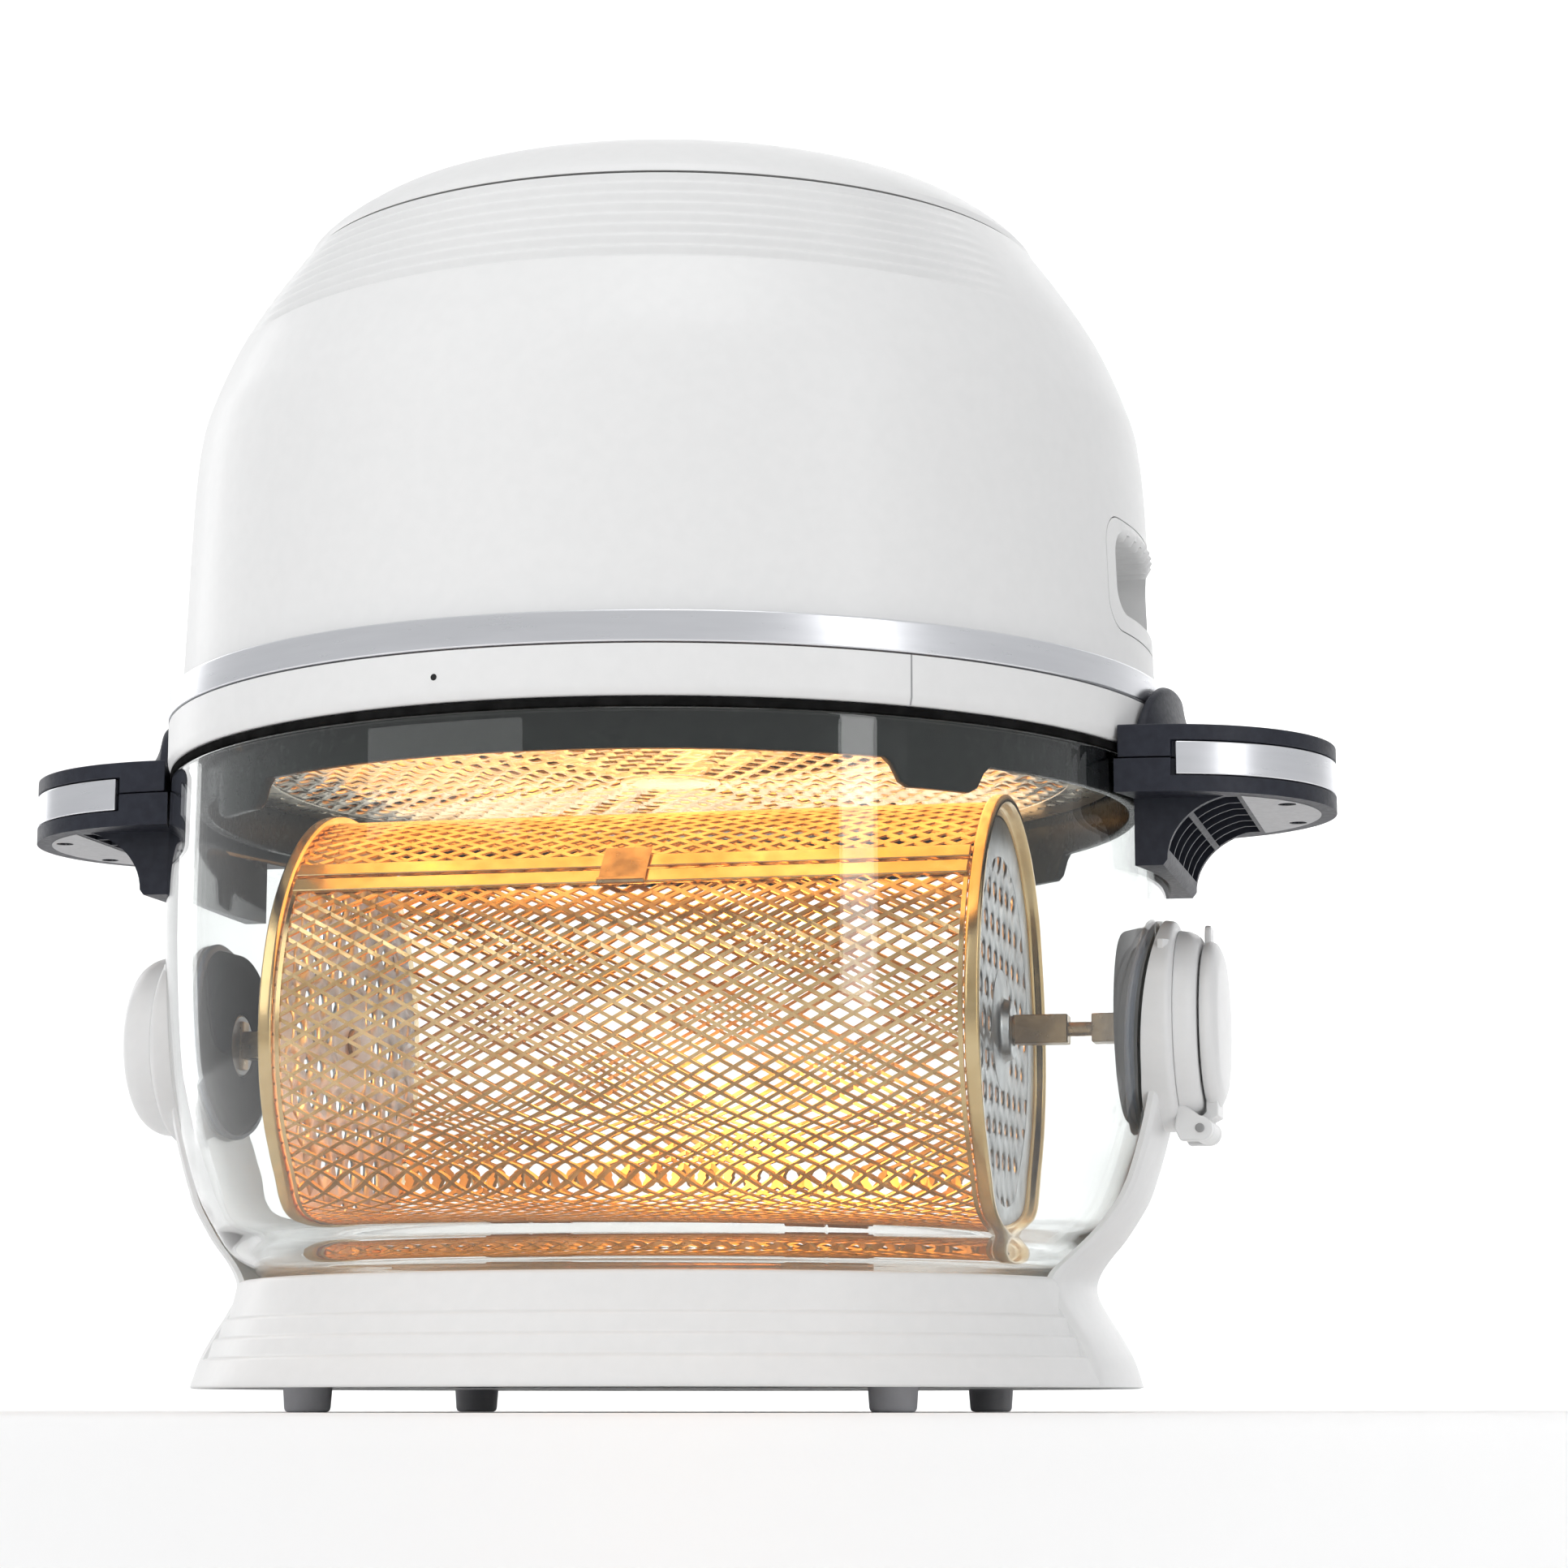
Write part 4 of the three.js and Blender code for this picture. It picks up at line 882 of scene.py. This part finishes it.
for n_, m_ in (("motor_bracket", "dark_steel"), ("fan_motor", "dark_steel"), ("control_board", "board"), ("fan_blade", "guard"), ("cooling_fan", "dark_steel")):
    N[n_].data.materials.clear()
    N[n_].data.materials.append(M[m_])
    bevel(N[n_], 0.4, 2, 40)
bevel(N["spit_motor"], 0.6, 3, 40)


# ------------------------------------------------------------------ basket
def cyl_pt(x, deg, r):
    t = math.radians(deg)
    return (x, -r * math.cos(t), AXLE_Z + r * math.sin(t))


def expanded(name, a0, a1, x0, x1, r, body, mat):
    """Expanded metal: diamonds 8.6 mm long and 4.8 mm high, with tilted strands."""
    long_way, short_way = 8.6, 4.8
    per_deg = PI * r / 180
    rows = max(2, round((a1 - a0) * per_deg / (short_way / 2)))
    cols = max(2, round((x1 - x0) / (long_way / 2)))
    da, dx = (a1 - a0) / rows, (x1 - x0) / cols
    verts, faces = [], []
    w, t = 0.52, 0.42
    for j in range(rows):
        for i in range(cols):
            # one strand per half cell, running from knuckle to knuckle
            if (i + j) % 2 == 0:
                p, q, tilt = (i, j), (i + 1, j + 1), 1
            else:
                p, q, tilt = (i, j + 1), (i + 1, j), -1
            xa, aa, xb, ab = x0 + p[0] * dx, a0 + p[1] * da, x0 + q[0] * dx, a0 + q[1] * da
            ln = math.hypot(xb - xa, (ab - aa) * per_deg)
            ux, ua = (xb - xa) / ln, (ab - aa) * per_deg / ln
            px, pa = -ua, ux
            k = len(verts)
            for s, (cx, ca) in ((0, (xa, aa)), (1, (xb, ab))):
                ext = -0.25 if s == 0 else 0.25
                for wu, rv in ((-w, -t), (w, -t + 0.35), (w, t + 0.35), (-w, t)):
                    verts.append(cyl_pt(cx + ux * ext + px * wu, ca + (ua * ext + pa * wu) / per_deg, r + rv * 0.8 - 0.3))
            faces += [(k, k + 1, k + 5, k + 4), (k + 1, k + 2, k + 6, k + 5), (k + 2, k + 3, k + 7, k + 6), (k + 3, k, k + 4, k + 7)]
    me = bpy.data.meshes.new(name)
    me.from_pydata([(x * MM, y * MM, z * MM) for x, y, z in verts], [], faces)
    me.shade_flat()
    me.materials.append(mat)
    ob = bpy.data.objects.new(name, me)
    scene.collection.objects.link(ob)
    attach(ob, body)
    return ob


def arc_bar(name, a0, a1, r0, r1, x0, x1, mat, body, edge=0.3):
    pts = []
    n = max(3, int((a1 - a0) / 1.5))
    for i in range(n + 1):
        a = a0 + (a1 - a0) * i / n
        pts.append(cyl_pt(0, a, r1)[1:])
    for i in range(n, -1, -1):
        a = a0 + (a1 - a0) * i / n
        pts.append(cyl_pt(0, a, r0)[1:])
    ob = prism(name, pts, "x", x0, x1, mat, body, 30)
    if edge:
        bevel(ob, edge, 2, 50)
    return ob


SEAM, HINGE, HR = 40.0, -100.0, 67.4
shell = expanded("basket_mesh_fixed", SEAM + 0.4, 360 + HINGE - 0.9, -98.4, 98.4, 65.6, "basket", M["mesh"])
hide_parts("basket_shell")
door = expanded("basket_mesh_door", HINGE + 1, SEAM - 0.8, -98.2, 98.2, 65.6, "door", M["mesh"])
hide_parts("basket_door")
ob = arc_bar("seam_bar_fixed", SEAM + 0.4, SEAM + 4.6, 66.3, 67.7, -98.3, 98.3, M["rim"], "basket")
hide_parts("basket_seam_bar")
ob = arc_bar("seam_bar_door", SEAM - 4.9, SEAM - 0.8, 66.3, 67.7, -98.2, 98.2, M["rim"], "door")
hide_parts("door_bar")
for tag, x0, x1 in (("left", -98.3, -97.1), ("right", 97.1, 98.3)):
    ob = arc_bar(f"door_edge_{tag}", HINGE + 1.2, SEAM - 0.8, 65.0, 66.4, x0, x1, M["rim"], "door", 0)
for body, lo, hi in (("basket", HINGE - 5.6, HINGE - 1.0), ("door", HINGE + 1.1, HINGE + 5.6)):
    ob = arc_bar(f"hinge_strip_{body}", lo, hi, 64.9, 66.2, -92, 92, M["rim"], body, 0.2)
_, hy, hz = cyl_pt(0, HINGE, HR)


def knuckle(name, x0, x1, body):
    pts = rounded([(x0, 1.35), (x1, 1.35), (x1, 1.9), (x0, 1.9)], [0, 0, 0.25, 0.25], 2)
    ob = lathe_x(name, pts, M["copper"], body, seg=32, cy=hy, cz=hz)
    return ob


for s in (1, -1):
    tag = "right" if s > 0 else "left"
    for who, a, b in (("basket", 45.5, 57.5), ("door", 32.5, 44.5)):
        lo, hi = min(s * a, s * b), max(s * a, s * b)
        knuckle(f"hinge_knuckle_{who}_{tag}", lo, hi, who)
        side = -1 if who == "basket" else 1
        web = arc_bar(f"hinge_web_{who}_{tag}", min(HINGE + side * 1.0, HINGE + side * 5.2), max(HINGE + side * 1.0, HINGE + side * 5.2), 65.6, 67.0, lo, hi, M["copper"], who, 0.2)
rod = lathe_x("hinge_wire", rounded([(-59, 0.01), (-59, 1.1), (59, 1.1), (59, 0.01)], [0, 0.4, 0.4, 0], 3), M["copper"], "basket", seg=24, cy=hy, cz=hz)
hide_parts("hinge_rod")
lt = arc_bar("latch_clip", SEAM - 5.4, SEAM + 5.8, 68.3, 69.2, -6.8, 6.8, M["axle"], "latch", 0.3)
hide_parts("door_latch")
_, ly, lz = cyl_pt(0, SEAM - 5.8, 69.2)
lw = lathe_x("latch_wire", rounded([(-7, 0.01), (-7, 1.1), (7, 1.1), (7, 0.01)], [0, 0.4, 0.4, 0], 3), M["axle"], "latch", seg=24, cy=ly, cz=lz)

for side, flip in (("right", 1), ("left", -1)):
    rim = lathe_x(f"cap_rim_{side}", rounded(
        [(98.9, 61.5), (98.9, 67.4), (99.5, 68.0), (102.5, 68.0), (103, 67.3), (103, 65.9), (102.2, 65.2), (100.3, 64.7), (99.7, 64.2), (99.7, 61.5)],
        [0, 0.3, 0.5, 0.5, 0.4, 0.5, 0.4, 0.5, 0.4, 0], 4), M["rim"], "basket", seg=160, flip=flip)
    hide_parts(f"basket_cap_{side}")
    disc = perforated(f"cap_disc_{side}", lambda u, v: 13 < math.hypot(u, v) < 55.5, 11.4, 2.6,
                      lambda u, v, f=flip: (f * (98.6 + 0.5 * sm(math.hypot(u, v), 44, 50)), u, AXLE_Z + v), M["zinc"], "basket", 0.9, ring_n=24)
    ann = lathe_x(f"cap_step_{side}", rounded([(98.7, 50), (98.7, 62), (99.7, 62), (99.7, 50)], [0.2, 0, 0, 0.4], 3), M["zinc"], "basket", seg=128, flip=flip)
    boss = lathe_x(f"cap_boss_{side}", rounded([(98.2, 4.6), (98.2, 18), (99.2, 18), (99.6, 9.4), (102.6, 8.4), (102.6, 4.6)], [0, 0, 0.4, 1.2, 0.6, 0], 4), M["zinc"], "basket", seg=64, flip=flip)
    q = 4.2

    def bar(name, x0, x1, m=M["axle"]):
        ob = boxes(name, [(min(flip * x0, flip * x1), max(flip * x0, flip * x1), -q, q, AXLE_Z - q, AXLE_Z + q)], m, "basket", 0.45)
        return ob
    a = bar(f"axle_{side}_bar", 103.2, 118.6)
    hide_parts(f"axle_{side}")
    bar(f"axle_{side}_shoulder", 125.4, 133.2)
    nk = lathe_x(f"axle_{side}_neck", rounded([(97, 0.01), (97, 4.2), (103.4, 4.2), (103.4, 2.1), (125.8, 2.1), (125.8, 0.01)], [0, 0.2, 0, 0, 0, 0], 3), M["axle"], "basket", seg=48, flip=flip)
    if side == "right":
        jn = lathe_x("axle_right_journal", rounded([(133, 0.01), (133, 3.9), (138.6, 3.9), (138.6, 0.01)], [0, 0, 0.6, 0], 3), M["axle"], "basket", seg=48)
    else:
        jn = boxes("axle_left_tang", [(-137.6, -133, -2.5, 2.5, AXLE_Z - 7.5, AXLE_Z + 7.5)], M["axle"], "basket", 0.4)
bush = lathe_x("axle_bush_ring", rounded([(134, 4.2), (134, 5.6), (138.4, 5.6), (138.4, 4.2)], 0.3, 3), M["rubber"], "basket", seg=48)
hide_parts("axle_bush")

# ------------------------------------------------------------------ floor, light, camera
floor_m, nt, p = new_mat("pale_floor")
v = tex_coord(nt)
nt.links.new(ramp(nt, noise(nt, v, 3.0, 2.0), (0.93, 0.93, 0.93), (0.95, 0.95, 0.95)), p.inputs["Base Color"])
p.inputs["Roughness"].default_value = 0.6
p.inputs["Specular IOR Level"].default_value = 0.2
verts, faces = [], []
rows = [(-4.0, 0.0)] + [(y, 0.0) for y in (-2, 0, 1.2)] + [(1.2 + 1.2 * math.sin(t), 1.2 - 1.2 * math.cos(t)) for t in [PI / 2 * i / 12 for i in range(1, 13)]] + [(2.4, 4.0)]
for y, z in rows:
    verts += [(-5000, y * 1000, z * 1000 - 0.05), (5000, y * 1000, z * 1000 - 0.05)]
for i in range(len(rows) - 1):
    faces.append((2 * i, 2 * i + 1, 2 * i + 3, 2 * i + 2))
floor = build("studio_floor", verts, faces, floor_m, None, 60)
floor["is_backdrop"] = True

world = bpy.data.worlds.new("studio")
scene.world = world
world.use_nodes = True
wn = world.node_tree
bg = wn.nodes["Background"]
tc = wn.nodes.new("ShaderNodeTexCoord")
sep = wn.nodes.new("ShaderNodeSeparateXYZ")
wn.links.new(tc.outputs["Generated"], sep.inputs["Vector"])
rmp = wn.nodes.new("ShaderNodeValToRGB")
mr = wn.nodes.new("ShaderNodeMapRange")
mr.inputs["From Min"].default_value = -1.0
mr.inputs["From Max"].default_value = 1.0
wn.links.new(sep.outputs["Z"], mr.inputs["Value"])
wn.links.new(mr.outputs["Result"], rmp.inputs["Fac"])
rmp.color_ramp.elements[0].position = 0.46
rmp.color_ramp.elements[0].color = (0.80, 0.81, 0.83, 1)
rmp.color_ramp.elements[1].position = 0.9
rmp.color_ramp.elements[1].color = (1, 1, 1, 1)
wn.links.new(rmp.outputs["Color"], bg.inputs["Color"])
bg.inputs["Strength"].default_value = 0.66


def area(name, loc, target, size, power, color=(1, 1, 1), size_y=None, spread=180):
    l = bpy.data.lights.new(name, "AREA")
    l.energy = power
    l.color = color
    l.size = size
    l.spread = math.radians(spread)
    if size_y:
        l.shape = "RECTANGLE"
        l.size_y = size_y
    o = bpy.data.objects.new(name, l)
    o.location = loc
    o.rotation_euler = (Vector(target) - Vector(loc)).to_track_quat("-Z", "Y").to_euler()
    scene.collection.objects.link(o)
    return o


def unseen(o):
    o.visible_camera = False
    o.visible_transmission = False
    return o


key = area("key_soft", (-1.3, -1.7, 1.3), (0, 0, 0.2), 1.7, 16)
key.visible_glossy = False
area("fill_strip", (1.7, -1.2, 0.7), (0, 0, 0.18), 0.3, 4.5, size_y=1.4)
area("rim_left", (-1.5, 1.0, 0.6), (0, 0, 0.2), 0.4, 3.5, size_y=1.4)
area("top_soft", (0.3, -0.9, 1.9), (0, 0, 0.25), 0.9, 4.5)
area("cove_wash", (0.0, 0.7, 2.9), (0, 2.35, 1.2), 2.2, 24, spread=75)
unseen(area("lamp_down", (0, 0, 0.1822), (0, 0, 0), 0.2, 0.20, (1.0, 0.50, 0.15)))
unseen(area("lamp_up", (0, 0, 0.1795), (0, 0, 1), 0.2, 0.16, (1.0, 0.62, 0.30)))
inside = bpy.data.lights.new("lamp_inside", "POINT")
inside.energy = 0.30
inside.color = (1.0, 0.46, 0.12)
inside.shadow_soft_size = 0.03
o = bpy.data.objects.new("lamp_inside", inside)
o.location = (0, 0, 0.118)
scene.collection.objects.link(o)
unseen(o)

cam_data = bpy.data.cameras.new("camera")
cam = bpy.data.objects.new("camera", cam_data)
scene.collection.objects.link(cam)
scene.camera = cam
F, W = 4799.0, 1932.0
cam_data.sensor_width = 36.0
cam_data.sensor_height = 36.0
cam_data.sensor_fit = "HORIZONTAL"
cam_data.lens = F / W * 36.0
cam_data.clip_start = 0.01
cam_data.clip_end = 50
D, PITCH, AZ = 1.147, math.radians(9.1), math.radians(14.0)
eye = Vector((D * math.sin(AZ), -D * math.cos(AZ), 0.0012))
to_axis = Vector((-math.sin(AZ), math.cos(AZ), 0))
yaw = math.atan((966 - 826) / F * 1.0 / 1.0) / math.cos(PITCH)
fwd = Matrix.Rotation(-yaw, 3, "Z") @ to_axis
fwd = Vector((fwd.x * math.cos(PITCH), fwd.y * math.cos(PITCH), math.sin(PITCH)))
cam.location = eye
cam.rotation_euler = fwd.to_track_quat("-Z", "Y").to_euler()

scene.view_settings.view_transform = "Standard"
scene.view_settings.exposure = 0.0

lo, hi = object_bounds()
